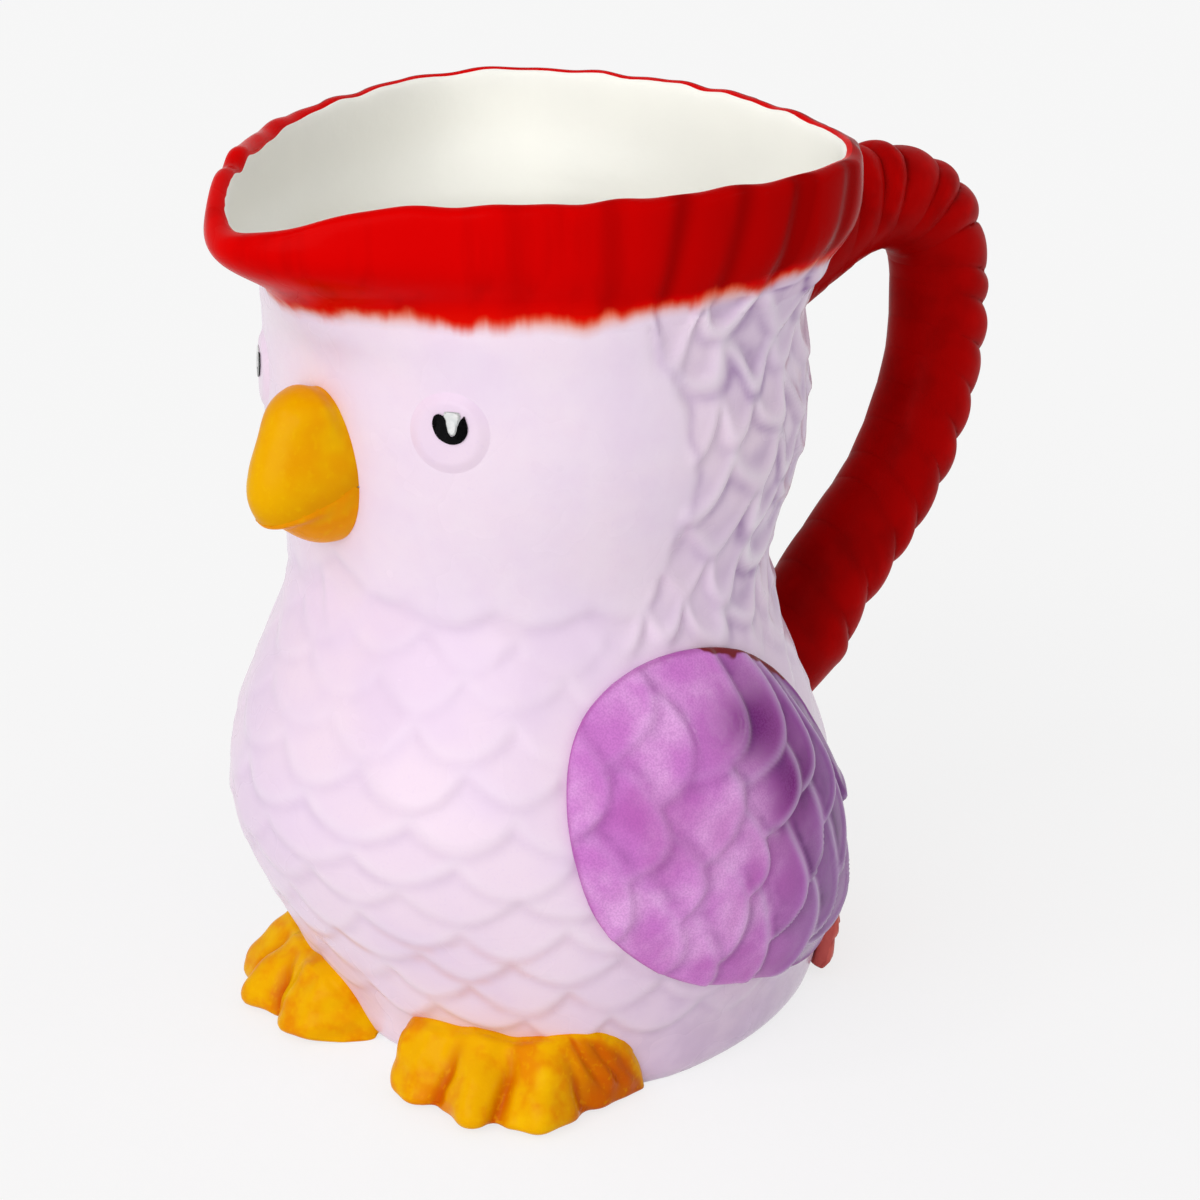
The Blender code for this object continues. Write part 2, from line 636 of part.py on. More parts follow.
def make_feet():
    keys = FOOT_STATIONS[:, 0]
    fine = np.interp(np.arange((len(keys) - 1) * FOOT_STEPS + 1) / FOOT_STEPS, np.arange(len(keys)), keys)
    rows = smooth_curve(keys, FOOT_STATIONS[:, 1:] * MM, fine)
    sections = []
    for turn, (reach, height) in zip(np.radians(fine), rows):
        outline = []
        foot_line = float(outer_radius(turn, 0.0)) + GAP
        seat = float(outer_radius(turn, height)) + GAP
        for share in FOOT_UP_SHARES:
            out = seat + (foot_line + reach - seat) * (1 - share ** FOOT_ROUND)
            outline.append((out, height * share))
        for share in FOOT_DOWN_SHARES:
            outline.append((float(outer_radius(turn, height * share)) + GAP, height * share))
        outline.append((foot_line, 0.0))
        section = [(radius * math.sin(turn), -radius * math.cos(turn), level) for radius, level in outline]
        sections.append(np.array(section))
    points, faces = lofted(sections, (sections[0].mean(axis=0), sections[-1].mean(axis=0)))
    make_object("foot_left", points, faces, ORANGE)
    make_object("foot_right", points, faces, ORANGE, mirrored=True)


make_body()
make_crest()
make_handle()
make_beak()
make_eyes()
make_wings()
make_feet()
make_tail()
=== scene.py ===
import math

import bpy
import numpy as np
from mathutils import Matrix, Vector
from mathutils.bvhtree import BVHTree


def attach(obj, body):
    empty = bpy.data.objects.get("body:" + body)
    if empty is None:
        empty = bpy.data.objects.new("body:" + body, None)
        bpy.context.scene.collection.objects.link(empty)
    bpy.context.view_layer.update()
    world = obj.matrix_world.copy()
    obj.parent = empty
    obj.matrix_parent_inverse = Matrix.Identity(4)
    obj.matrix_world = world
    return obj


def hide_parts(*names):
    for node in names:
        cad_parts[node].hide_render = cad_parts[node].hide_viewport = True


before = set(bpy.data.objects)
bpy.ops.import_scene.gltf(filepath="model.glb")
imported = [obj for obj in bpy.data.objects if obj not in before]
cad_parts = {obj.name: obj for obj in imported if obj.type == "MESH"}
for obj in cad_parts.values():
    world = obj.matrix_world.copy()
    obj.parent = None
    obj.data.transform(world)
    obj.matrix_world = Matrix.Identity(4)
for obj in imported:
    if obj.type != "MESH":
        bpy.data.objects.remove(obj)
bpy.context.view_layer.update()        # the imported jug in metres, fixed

mm = 0.001

for leftover in ("Cube", "Light", "Camera"):
    if leftover in bpy.data.objects:
        bpy.data.objects.remove(bpy.data.objects[leftover])


# handling meshes

def pickOnly(piece):
    bpy.ops.object.select_all(action="DESELECT")
    piece.select_set(True)
    bpy.context.view_layer.objects.active = piece


def copyNode(nodeName, pieceName, joinAngle=70):
    piece = bpy.data.objects.new(pieceName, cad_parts[nodeName].data.copy())
    bpy.context.scene.collection.objects.link(piece)
    piece.data.materials.clear()
    pickOnly(piece)
    bpy.ops.mesh.customdata_custom_splitnormals_clear()
    bpy.ops.object.mode_set(mode="EDIT")
    bpy.ops.mesh.select_all(action="SELECT")
    bpy.ops.mesh.remove_doubles(threshold=1e-6)
    bpy.ops.mesh.mark_sharp(clear=True)
    angle = math.radians(joinAngle)
    bpy.ops.mesh.tris_convert_to_quads(face_threshold=angle, shape_threshold=angle)
    bpy.ops.object.mode_set(mode="OBJECT")
    return piece


def subdivideSmooth(piece, levels):
    pickOnly(piece)
    modifier = piece.modifiers.new("roundedClay", "SUBSURF")
    modifier.levels = levels
    modifier.render_levels = levels
    bpy.ops.object.modifier_apply(modifier=modifier.name)


def fetch(members, name, width, kind=float):     # one row of numbers for each member
    values = np.empty(len(members) * width, dtype=kind)
    members.foreach_get(name, values)
    return values.reshape(-1, width)


def pointsOf(piece):
    return fetch(piece.data.vertices, "co", 3)


def setPoints(piece, points):
    piece.data.vertices.foreach_set("co", np.ascontiguousarray(points).ravel())
    piece.data.update()


def normalsOf(piece):
    return fetch(piece.data.vertex_normals, "vector", 3, np.float32).astype(float)


def storeValues(piece, **layers):
    for name, values in layers.items():
        layer = piece.data.attributes.new(name, "FLOAT", "POINT")
        layer.data.foreach_set("value", np.asarray(values, dtype=np.float32))


def readValues(piece, name):
    return fetch(piece.data.attributes[name].data, "value", 1, np.float32)[:, 0].astype(float)


def blurValues(piece, values, passes):     # evens values out between neighbouring points
    ends = fetch(piece.data.edges, "vertices", 2, np.int32)
    first, second = ends.T
    size = len(values)
    shared = np.maximum(np.bincount(ends.ravel(), minlength=size), 1)
    for step in range(passes):
        total = np.bincount(first, values[second], size) + np.bincount(second, values[first], size)
        values = 0.5 * (values + total / shared)
    return values


def holdCorners(piece, held):     # edges between held points stay sharp when subdivided
    both = held[fetch(piece.data.edges, "vertices", 2, np.int32)].all(axis=1)
    layer = piece.data.attributes.new("crease_edge", "FLOAT", "EDGE")
    layer.data.foreach_set("value", both.astype(np.float32))


def editPart(piece, kind, flags, operation, **options):     # works on only these faces or points
    pickOnly(piece)
    bpy.ops.object.mode_set(mode="EDIT")
    bpy.ops.mesh.select_mode(type=kind)
    bpy.ops.mesh.select_all(action="DESELECT")
    bpy.ops.object.mode_set(mode="OBJECT")
    members = piece.data.polygons if kind == "FACE" else piece.data.vertices
    members.foreach_set("select", np.asarray(flags, dtype=bool))
    bpy.ops.object.mode_set(mode="EDIT")
    operation(**options)
    bpy.ops.object.mode_set(mode="OBJECT")


def faceCentres(piece):
    return fetch(piece.data.polygons, "center", 3), fetch(piece.data.polygons, "normal", 3)


def treeOf(mesh):     # search tree of a surface
    corners = [vertex.co.copy() for vertex in mesh.vertices]
    return BVHTree.FromPolygons(corners, [tuple(face.vertices) for face in mesh.polygons])


def nearestWall(points, trees):     # distance and normal of the nearest wall for every point
    distances = np.empty(len(points))
    normals = np.empty((len(points), 3))
    for number, point in enumerate(points):
        hits = [tree.find_nearest(Vector(point)) for tree in trees]
        place, normals[number], face, distances[number] = min(hits, key=lambda hit: hit[3])
    return distances, normals


def finishPiece(piece, material, nodeName, sharpAngle=None):
    piece.data.materials.append(material)
    pickOnly(piece)
    if sharpAngle:
        bpy.ops.object.shade_smooth_by_angle(angle=math.radians(sharpAngle))
    else:
        bpy.ops.object.shade_smooth()
    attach(piece, "root")
    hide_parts(nodeName)
    triangles = sum(len(face.vertices) - 2 for face in piece.data.polygons)
    print("piece", piece.name, triangles, "triangles")


def smoothStep(low, high, value):
    share = np.clip((value - low) / (high - low), 0, 1)
    return share * share * (3 - 2 * share)


def onLedge(ledge, past):     # from 0 to 1 across the width of a feather's edge
    return smoothStep(-0.5 * ledge, 0.5 * ledge, past)


def bell(distance, spread):
    return np.exp(-(distance / spread) ** 2)


def mix(first, second, share):
    return first + (second - first) * share


def turnOf(points):     # degrees round the jug, 0 at the bird's front, 90 at its left
    return np.degrees(np.arctan2(points[:, 0], -points[:, 1]))


def measuresOf(piece):     # points, normals, degrees round the jug, millimetres up
    points = pointsOf(piece)
    return points, normalsOf(piece), turnOf(points), points[:, 2] / mm


def radialOf(points):
    flat = points * np.array((1, 1, 0))
    return flat / np.maximum(np.linalg.norm(flat, axis=1, keepdims=True), 1e-9)


def outwardOf(ways, points):     # 1 where a way leads straight out from the jug's axis
    return (ways * radialOf(points)).sum(axis=1)


def pushed(points, ways, lengths):     # points moved along their ways by millimetres
    return points + ways * (lengths * mm)[:, None]


# feather relief on the wall, all heights in millimetres

bellyFeathers = {
    "rows": ((15.5, -5), (23.5, 5), (31, -5), (38.3, 5), (46, -5), (53.3, 5), (61.3, -5),
             (70.8, 5), (79, -5), (88, 5), (96.3, -5), (104.5, 5), (112.5, -5)),
    "width": 20,          # degrees
    "unit": 1.05,         # millimetres for each degree
    "count": 18,
    "depth": 5.6,         # the U of the tip
    "power": 2.1,
    "height": 0.95,
    "fall": 11,           # a feather sinks under the next row over this length
    "dome": 0.22,
    "ledge": 1.9,
    "rim": 0,
    "dish": 0,
    "wander": 1.2,
    "stray": 0.5,         # how far rows and columns wander
    "uneven": 0.25,       # some edges are bolder than others
    "seed": 4,
}
headFeathers = {
    "rows": ((84.5, 71.25), (95, 78.5), (105.5, 71.25), (116, 78.5), (126.5, 71.25), (137, 78.5),
             (147.5, 71.25), (158, 78.5), (168.5, 71.25)),
    "width": 14.5,
    "unit": 0.95,
    "count": 40,
    "depth": 7.5,
    "power": 2.2,
    "height": 1.9,
    "fall": 14,
    "dome": 0.3,
    "ledge": 2.4,
    "rim": 0.4,           # raised edge of a feather
    "dish": 0.95,         # hollow behind that edge, where the glaze pools and painted shade darkens it
    "wander": 1.8,
    "stray": 1.6,
    "uneven": 0.5,
    "seed": 9,
}
faceMask = {
    "height": 1.15,
    "sideLevels": (100, 109, 116, 122, 128, 133, 137, 141, 147, 152, 157, 168),
    "sideTurns": (74, 76, 80, 78.5, 82.5, 83.5, 82, 80, 81, 78.5, 73.5, 72),
    "hemLevel": 104.4,
    "hemLobe": 21,        # degrees
    "hemStart": 30,
    "hemDepth": 3.2,
    "hemRise": 7.5,       # the hem rises under the beak
    "hemRiseSpread": 13,
    "ledge": 2.3,
    "bib": (2.5, 96.5, 9.2, 15, 2.4),     # turn, tip, half-width in degrees, depth, power
}
reliefShift = 0.55        # keeps the carved wall about where the plain one was
throat = {
    "depth": 4.4,         # the wall draws in under the pouring lip
    "spread": 55,         # degrees
    "level": 168.8,
    "above": 5.5,
    "below": 5.6,
    "back": (2.6, 136, 22, 171, 6.5),     # beside the handle: depth, turn, spread, level, spread
}


def throatDepth(turn, level):
    over = level - throat["level"]
    front = throat["depth"] * bell(turn, throat["spread"])
    front = front * bell(over, np.where(over > 0, throat["above"], throat["below"]))
    depth, backTurn, turnSpread, backLevel, levelSpread = throat["back"]
    return front + depth * bell(np.abs(turn) - backTurn, turnSpread) * bell(level - backLevel, levelSpread)


def layFeathers(turn, level, look):
    random = np.random.default_rng(look["seed"])
    height = np.zeros_like(turn)
    pool = np.zeros_like(turn)
    ridge = np.zeros_like(turn)
    ledge = look["ledge"]
    angle = np.radians(turn)
    stray = look["stray"]
    turn = turn + stray * (1.5 * np.sin(4 * angle + level / 8) + 1.1 * np.sin(9 * angle - level / 5 + 1.3))
    level = level + stray * (0.9 * np.sin(7 * angle + level / 13) + 0.6 * np.sin(13 * angle - level / 7))
    for tip, shift in look["rows"]:
        place = (turn - shift) / look["width"]
        column = np.round(place)
        across = 2 * (place - column)
        number = column.astype(int) % look["count"]
        drop, swell, hollow, bold = random.uniform(-1, 1, (4, look["count"]))[:, number]
        bold = 1 + look["uneven"] * (bold - 0.6)
        middle = 1 - across ** 2
        edge = tip + look["depth"] * np.abs(across) ** look["power"] + look["wander"] * drop * middle
        steep = 2 * look["depth"] * look["power"] * np.abs(across) ** (look["power"] - 1)
        past = level - edge
        near = past / np.hypot(1, steep / (look["width"] * look["unit"]))
        cover = onLedge(ledge, near)
        own = look["height"] * (1 + 0.3 * swell * middle) * (1 - look["dome"] * across ** 2)
        own = own * (1 - past / look["fall"])
        dished = middle * bell(past - 5.6, 2.8) * (0.7 + 0.3 * hollow) * (look["dish"] > 0)
        own = own + look["rim"] * bold * bell(near - 0.8 * ledge, 1.2) - look["dish"] * bold * dished
        height = mix(height, own, cover)
        # painted shade just under each feather's edge and in the hollow behind it, where glaze also pools
        under = (1 - cover) * bell(near + 0.45 * ledge, 0.95)
        pool = np.maximum(mix(pool, 0.8 * bold * dished, cover), bold * under)
        # painted highlight along each feather's raised edge, where the glaze is also thinner
        ridge = np.maximum(ridge * (1 - cover), bold * cover * bell(near - 0.6 * ledge, 0.8))
    return height, pool, ridge


def maskRoom(turn, level):     # millimetres inside the smooth face
    side = np.abs(turn)
    sideRoom = np.interp(level, faceMask["sideLevels"], faceMask["sideTurns"]) - side
    lobe = (side - faceMask["hemStart"]) / faceMask["hemLobe"]
    hem = faceMask["hemLevel"] + faceMask["hemDepth"] * np.abs(2 * (lobe - np.round(lobe))) ** 2
    hem = hem + faceMask["hemRise"] * bell(side, faceMask["hemRiseSpread"])
    hemRoom = level - hem
    return -np.log(np.exp(-np.clip(sideRoom, -20, 20)) + np.exp(-np.clip(hemRoom, -20, 20)))


def wallRelief(turn, level):
    side = np.abs(turn)
    belly = layFeathers(turn, level, bellyFeathers)
    head = layFeathers(side, level, headFeathers)
    toHead = smoothStep(92, 102, level + 5 * smoothStep(80, 120, side)) * smoothStep(56, 72, side)
    calm = 1 - 0.45 * smoothStep(60, 90, level) * smoothStep(95, 70, side)
    height = mix(reliefShift + (belly[0] - reliefShift) * calm, head[0], toHead)
    toNape = smoothStep(78, 104, side)
    # painted shade and painted highlight grow stronger towards the nape, which turns from the light
    pool = mix(0.34 * belly[1] * calm, head[1] * mix(0.5, 1.75, toNape), toHead)
    ridge = mix(0.5 * belly[2] * calm, head[2] * mix(0.5, 1.7, toNape), toHead)
    bibTurn, bibTip, bibHalf, bibDepth, power = faceMask["bib"]
    beside = np.abs(turn - bibTurn) / bibHalf
    bibPast = level - bibTip - bibDepth * beside ** power
    steep = power * bibDepth * beside ** (power - 1) / bibHalf
    ledge = faceMask["ledge"]
    bib = onLedge(ledge, bibPast / np.hypot(1, steep)) * smoothStep(120, 112, level)
    height = mix(height, 1 - 0.03 * bibPast, bib)
    pool = pool * (1 - bib)
    room = maskRoom(turn, level)
    mask = onLedge(ledge, room)
    height = mix(height, faceMask["height"], mask)
    # painted shade in the crease along the side and hem of the smooth face
    line = mix(0.2, 0.75, smoothStep(112, 126, level))
    pool = np.maximum(pool * (1 - mask), line * (1 - mask) * bell(room + 0.5 * ledge, 0.9))
    # the smooth face is painted lighter, to offset the shade under the crest
    ridge = mix(ridge, 0.42, mask)
    return height - reliefShift, pool, ridge


# paint on body and crest

paintEdge = {
    "turns": (0, 5, 30, 52, 59, 65, 71, 91, 97, 102, 125, 180),
    "levels": (166.6, 167, 167.4, 167, 165.8, 167.4, 168.6, 169.4, 170.5, 171.5, 173, 173),
}


def paintAbove(turn, level):     # millimetres over the lower edge of the red
    higher = 3.5 * smoothStep(5, 36, -turn) * smoothStep(75, 50, -turn)     # less under the lip's right
    return level - np.interp(np.abs(turn), paintEdge["turns"], paintEdge["levels"]) - higher


def blushAt(turn, level):     # where the orange of the feet has run into the creases
    near = bell(np.abs(turn) - 33, 26)
    return near * smoothStep(12, 18, level) * smoothStep(48, 34, level)


# glazes

def tint(red, green, blue):     # screen colour from 0 to 255 as a shader colour
    shares = np.array((red, green, blue)) / 255
    straight = np.where(shares <= 0.04045, shares / 12.92, ((shares + 0.055) / 1.055) ** 2.4)
    return (float(straight[0]), float(straight[1]), float(straight[2]), 1)


class Glaze:     # one material and short ways to wire it
    def __init__(self, name, gloss):
        self.material = bpy.data.materials.new(name)
        self.material.use_nodes = True
        self.nodes = self.material.node_tree.nodes
        self.links = self.material.node_tree.links
        self.shader = self.nodes["Principled BSDF"]
        self.shader.inputs["Specular IOR Level"].default_value = gloss
        self.place = self.nodes.new("ShaderNodeTexCoord").outputs["Object"]

    def plug(self, value, socket):
        if isinstance(value, bpy.types.NodeSocket):
            self.links.new(value, socket)
        else:
            socket.default_value = value

    def stored(self, name, *shares):     # a value stored on the points, thinned by each share
        node = self.nodes.new("ShaderNodeAttribute")
        node.attribute_name = name
        value = node.outputs["Fac"]
        for share in shares:
            value = self.times(value, share)
        return value

    def noise(self, scale, detail=2, stretch=None, roughness=0.5):
        node = self.nodes.new("ShaderNodeTexNoise")
        for socket, value in (("Scale", scale), ("Detail", detail), ("Roughness", roughness)):
            node.inputs[socket].default_value = value
        place = self.place
        if stretch:
            mapping = self.nodes.new("ShaderNodeMapping")
            mapping.inputs["Scale"].default_value = stretch
            self.links.new(place, mapping.inputs["Vector"])
            place = mapping.outputs["Vector"]
        self.links.new(place, node.inputs["Vector"])
        return node.outputs["Fac"]

    def span(self, value, low, high, toLow=0, toHigh=1):     # soft step between two values
        node = self.nodes.new("ShaderNodeMapRange")
        node.interpolation_type = "SMOOTHSTEP"
        self.plug(value, node.inputs["Value"])
        for name, limit in (("From Min", low), ("From Max", high), ("To Min", toLow), ("To Max", toHigh)):
            node.inputs[name].default_value = limit
        return node.outputs["Result"]

    def patches(self, scale, detail, *limits):
        return self.span(self.noise(scale, detail), *limits)

    def reckon(self, operation, first, second):
        node = self.nodes.new("ShaderNodeMath")
        node.operation = operation
        self.plug(first, node.inputs[0])
        self.plug(second, node.inputs[1])
        return node.outputs[0]

    def times(self, first, second):
        return self.reckon("MULTIPLY", first, second)

    def swing(self, value, reach):     # a noise as a shift to both sides
        return self.times(self.reckon("SUBTRACT", value, 0.5), reach)

    def coats(self, colour, *coats):     # lays colours over each other, each with its share
        for above, share in coats:
            node = self.nodes.new("ShaderNodeMix")
            node.data_type = "RGBA"
            colours = [socket for socket in node.inputs if socket.type == "RGBA"]
            self.plug(share, node.inputs[0])
            self.plug(colour, colours[0])
            self.plug(above, colours[1])
            colour = [socket for socket in node.outputs if socket.type == "RGBA"][0]
        return colour

    def finish(self, colour, roughness, height, depth):     # the ripple's depth in millimetres
        self.plug(colour, self.shader.inputs["Base Color"])
        self.plug(roughness, self.shader.inputs["Roughness"])
        bump = self.nodes.new("ShaderNodeBump")
        bump.inputs["Distance"].default_value = depth * mm
        self.links.new(height, bump.inputs["Height"])
        self.links.new(bump.outputs["Normal"], self.shader.inputs["Normal"])
        return self.material


glazeLook = {
    "lilac": tint(240, 219, 239),
    "lilacCool": tint(233, 210, 236),
    "lilacWarm": tint(245, 224, 238),
    "lilacPoolShade": tint(172, 138, 184),
    "lilacThinAndLit": tint(250, 243, 250),
    "blush": tint(232, 164, 132),
    "red": tint(222, 0, 0),
    "redDeep": tint(150, 0, 0),
    "redThinAndLit": tint(222, 52, 4),
    "redHalo": tint(234, 128, 66),
    "cream": tint(255, 254, 247),
    "creamCool": tint(248, 247, 241),
}


def lilacColour(glaze):
    look = glazeLook
    patchy = glaze.patches(160, 2, 0.3, 0.7, 0.55, 1)
    return glaze.coats(
        look["lilacCool"],
        (look["lilacWarm"], glaze.patches(38, 3, 0.35, 0.65)),
        (look["lilac"], 0.5),
        (look["lilacCool"], glaze.patches(1500, 1, 0.62, 0.72, 0, 0.22)),
        # painted shade in creases and hollows, with pooled glaze
        (look["lilacPoolShade"], glaze.stored("pool", patchy, 0.75)),
        # painted highlight on feather edges and on the smooth face, with thinner glaze on the edges
        (look["lilacThinAndLit"], glaze.stored("ridge", patchy, 0.6)),
        (look["blush"], glaze.stored("blush", glaze.patches(90, 2, 0.38, 0.6), 0.34)))


def paintedWall(glaze):     # lilac below, brushed red above, cream inside
    look = glazeLook
    streak = glaze.noise(240, 3, (1, 1, 0.16))
    dab = glaze.noise(58, 3, (1, 1, 0.5))
    wobble = glaze.reckon("ADD", glaze.swing(streak, 4.5), glaze.swing(dab, 8))
    reach = glaze.reckon("ADD", glaze.stored("paint"), wobble)
    faint = glaze.reckon("ADD", glaze.stored("paint"), glaze.times(wobble, 0.35))
    brush = glaze.noise(150, 3, (1, 1, 0.12))
    red = glaze.coats(
        look["red"],
        (look["redDeep"], glaze.span(brush, 0.45, 0.75, 0, 0.25)),
        # painted shade in the flutes and hollows; below it, painted highlight on ridges with thinner paint
        (look["redDeep"], glaze.stored("pool", 0.6)),
        (look["redThinAndLit"], glaze.stored("ridge", 0.25)))
    lining = glaze.coats(look["cream"], (look["creamCool"], glaze.patches(30, 2, 0.4, 0.7, 0, 0.6)))
    within = glaze.reckon("ADD", glaze.stored("inside"), glaze.swing(glaze.noise(110, 2), 0.6))
    return glaze.coats(
        lilacColour(glaze),
        (look["redHalo"], glaze.span(faint, -3.6, 0.5, 0, 0.8)),
        (look["redThinAndLit"], glaze.span(reach, -2.2, 0.5, 0, 0.9)),
        (red, glaze.span(reach, -0.6, 1.1)),
        (lining, glaze.span(within, 0.42, 0.58)))


def wallGlaze(name, gloss):
    glaze = Glaze(name, gloss)
    sheen = glaze.patches(60, 2, 0.3, 0.7, 0.18, 0.3)
    sheen = glaze.reckon("ADD", sheen, glaze.stored("inside", 0.3))
    return glaze.finish(paintedWall(glaze), sheen, glaze.noise(420, 2), 0.06)


# body

bodyLook = {
    "cuts": 3,            # extra cuts of the outer wall for the carving
    "smoothing": 8,
    "softening": 2,       # passes after the carving
    "baseFade": (3, 12),
    "facingOut": 0.3,     # faces and points that lean out more than this are the outer wall
}
unpainted = -20           # far under the edge of the red
wallTrees = [treeOf(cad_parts[nodeName].data) for nodeName in ("body_shell", "crest_rim")]
body = copyNode("body_shell", "body_shell_glazed")
levels = pointsOf(body)[:, 2]
jointLevel = levels.max()
holdCorners(body, (levels > jointLevel - 1e-5) | (levels < 1e-5))
subdivideSmooth(body, 1)
centres, facing = faceCentres(body)
editPart(body, "FACE", outwardOf(facing, centres) > bodyLook["facingOut"], bpy.ops.mesh.subdivide,
         number_cuts=bodyLook["cuts"])
points = pointsOf(body)
outer = outwardOf(normalsOf(body), points) > bodyLook["facingOut"]
outer = outer & (points[:, 2] > 2.5 * mm) & (points[:, 2] < jointLevel - 1.2 * mm)
editPart(body, "VERT", outer, bpy.ops.mesh.vertices_smooth, factor=0.5, repeat=bodyLook["smoothing"])
points, normals, turn, level = measuresOf(body)
atJoint = points[:, 2] > jointLevel - 1e-4
normals[atJoint] = radialOf(points)[atJoint]
radius = np.hypot(points[:, 0], points[:, 1])
ringStops = np.arange(-180, 180, 4)
ringRadii = [radius[atJoint & (np.abs(turn - stop) < 4)] for stop in ringStops]
ringMiddles = [0.5 * (ring.min() + ring.max()) for ring in ringRadii]
innerEdge = atJoint & (radius < np.interp(turn, ringStops, ringMiddles, period=360))
outer = (outwardOf(normals, points) > bodyLook["facingOut"]) & ~innerEdge
relief, pool, ridge = wallRelief(turn, level)
relief = relief * smoothStep(*bodyLook["baseFade"], level) * outer
carved = pushed(points, normals, relief)
setPoints(body, pushed(carved, radialOf(points), -throatDepth(turn, level)))
editPart(body, "VERT", outer & (level > 8) & (level < jointLevel / mm - 1.5), bpy.ops.mesh.vertices_smooth,
         factor=0.5, repeat=bodyLook["softening"])
pool = blurValues(body, pool * outer * smoothStep(6, 20, level), 2)
lowBackShade = 0.5 * smoothStep(42, 80, np.abs(turn)) * smoothStep(50, 6, level) * outer     # painted shade, darker low on the sides and back
storeValues(body, pool=pool + lowBackShade, ridge=blurValues(body, ridge * outer, 3), inside=1 - outer,
            paint=np.where(outer, paintAbove(turn, level), unpainted),
            blush=blushAt(turn, level) * np.clip(2.6 * pool, 0, 1) * outer)
finishPiece(body, wallGlaze("bodyGlaze", 0.24), "body_shell", 55)
carvedWall = treeOf(body.data)


# crest

crestLook = {
    "sink": 4,            # the foot of the crest goes this far into the body
    "inset": 0.14,        # and stays this far under its surface
    "insetLevels": (164.6, 161.2),
    "fluteStart": 63.5,   # degrees
    "flutePitch": 12.263,
    "fluteDepth": 0.55,
    "fluteWidth": 1.9,
    "fluteLevels": (165, 171),        # from the body's feathers to the flutes
    "waveHeight": 0.35,
    "lipBack": (1.6, 20),             # the lip's upper part leans back: millimetres, degrees
    "lipFull": (1.2, 178.5, 4),       # the lip bulges over the throat
    "lipUp": 1,
    "redInside": (2, 40, 26),         # the red runs over the rim: millimetres, degrees, spread
    "meet": 0.05,         # the foot laps this far over the body's upper edge
    "meetLevels": (169, 165.4),
    "castFrom": 0.12,     # metres, outside the jug
    "ruffle": (-28, 3.2, 0.9),        # a pinch in the rim: turn, spread, height
    "widestGap": (0.7, 2),            # wider gaps at the joint, outside and inside, are misses
    "missedGap": 0.1,
}


def fluteRelief(turn, level):
    side = np.abs(turn)
    place = (side - crestLook["fluteStart"]) / crestLook["flutePitch"]
    off = (place - np.round(place)) * crestLook["flutePitch"]
    lean = bell(off - 0.22 * (level - 176) * smoothStep(60, 85, side), crestLook["fluteWidth"])
    uneven = 0.8 + 0.35 * np.sin(2.4 * np.round(place) + 0.7)
    strength = smoothStep(52, 80, side) * uneven + 0.5 * bell(side - 110, 14)
    crease = lean * strength + 0.3 * bell(side - 46, 2.6)
    swell = 0.14 * np.cos(2 * math.pi * place) * strength
    return -crestLook["fluteDepth"] * crease - swell, np.clip(crease, 0, 1)


crest = copyNode("crest_rim", "crest_rim_glazed")
centres, facing = faceCentres(crest)
editPart(crest, "FACE", (facing[:, 2] < -0.9) & (centres[:, 2] < jointLevel + 0.6 * mm),
         bpy.ops.mesh.extrude_region_move, TRANSFORM_OT_translate={"value": (0, 0, -crestLook["sink"] * mm)})
points = pointsOf(crest)
foot = points[:, 2] < jointLevel - 0.5 * mm
for index in np.flatnonzero(foot):
    place, normal = wallTrees[0].find_nearest(Vector(points[index]))[:2]
    points[index] = place - normal * (crestLook["inset"] * mm)
setPoints(crest, points)
holdCorners(crest, foot)
subdivideSmooth(crest, 3)
points, normals, turn, level = measuresOf(crest)
outward = outwardOf(normals, points)
wall = wallRelief(turn, level)
flute = fluteRelief(turn, level)
up = smoothStep(*crestLook["fluteLevels"], level)
face = smoothStep(-0.1, 0.55, outward)
lipBack, lipTurn = crestLook["lipBack"]
tuck = throatDepth(turn, level) + lipBack * bell(turn, lipTurn) * smoothStep(168, 178, level)
lipFull, fullLevel, fullSpread = crestLook["lipFull"]
tuck = tuck - lipFull * bell(turn, lipTurn) * bell(level - fullLevel, fullSpread) * face
pointsNew = pushed(points, radialOf(points), mix(wall[0], flute[0], up) * face - tuck)
pointsNew[:, 2] += crestLook["lipUp"] * mm * bell(turn, lipTurn) * smoothStep(174, 184, level)
edgeShare = smoothStep(180, 188, level + 8 * bell(turn, 15))
wave = np.sin(np.radians(turn) * 17 + 0.6) * 0.6 + np.sin(np.radians(turn) * 29) * 0.4
ruffleTurn, ruffleSpread, ruffleHeight = crestLook["ruffle"]
offRuffle = turn - ruffleTurn
ruffle = ruffleHeight * (bell(offRuffle + 3, ruffleSpread) - bell(offRuffle - 3, ruffleSpread))
pointsNew[:, 2] += (wave * crestLook["waveHeight"] + ruffle) * edgeShare * mm
setPoints(crest, pointsNew)
crestWall = treeOf(crest.data)
stops = np.arange(-180, 180, 1)
lap = np.zeros(len(points))
widestOut, widestIn = crestLook["widestGap"]
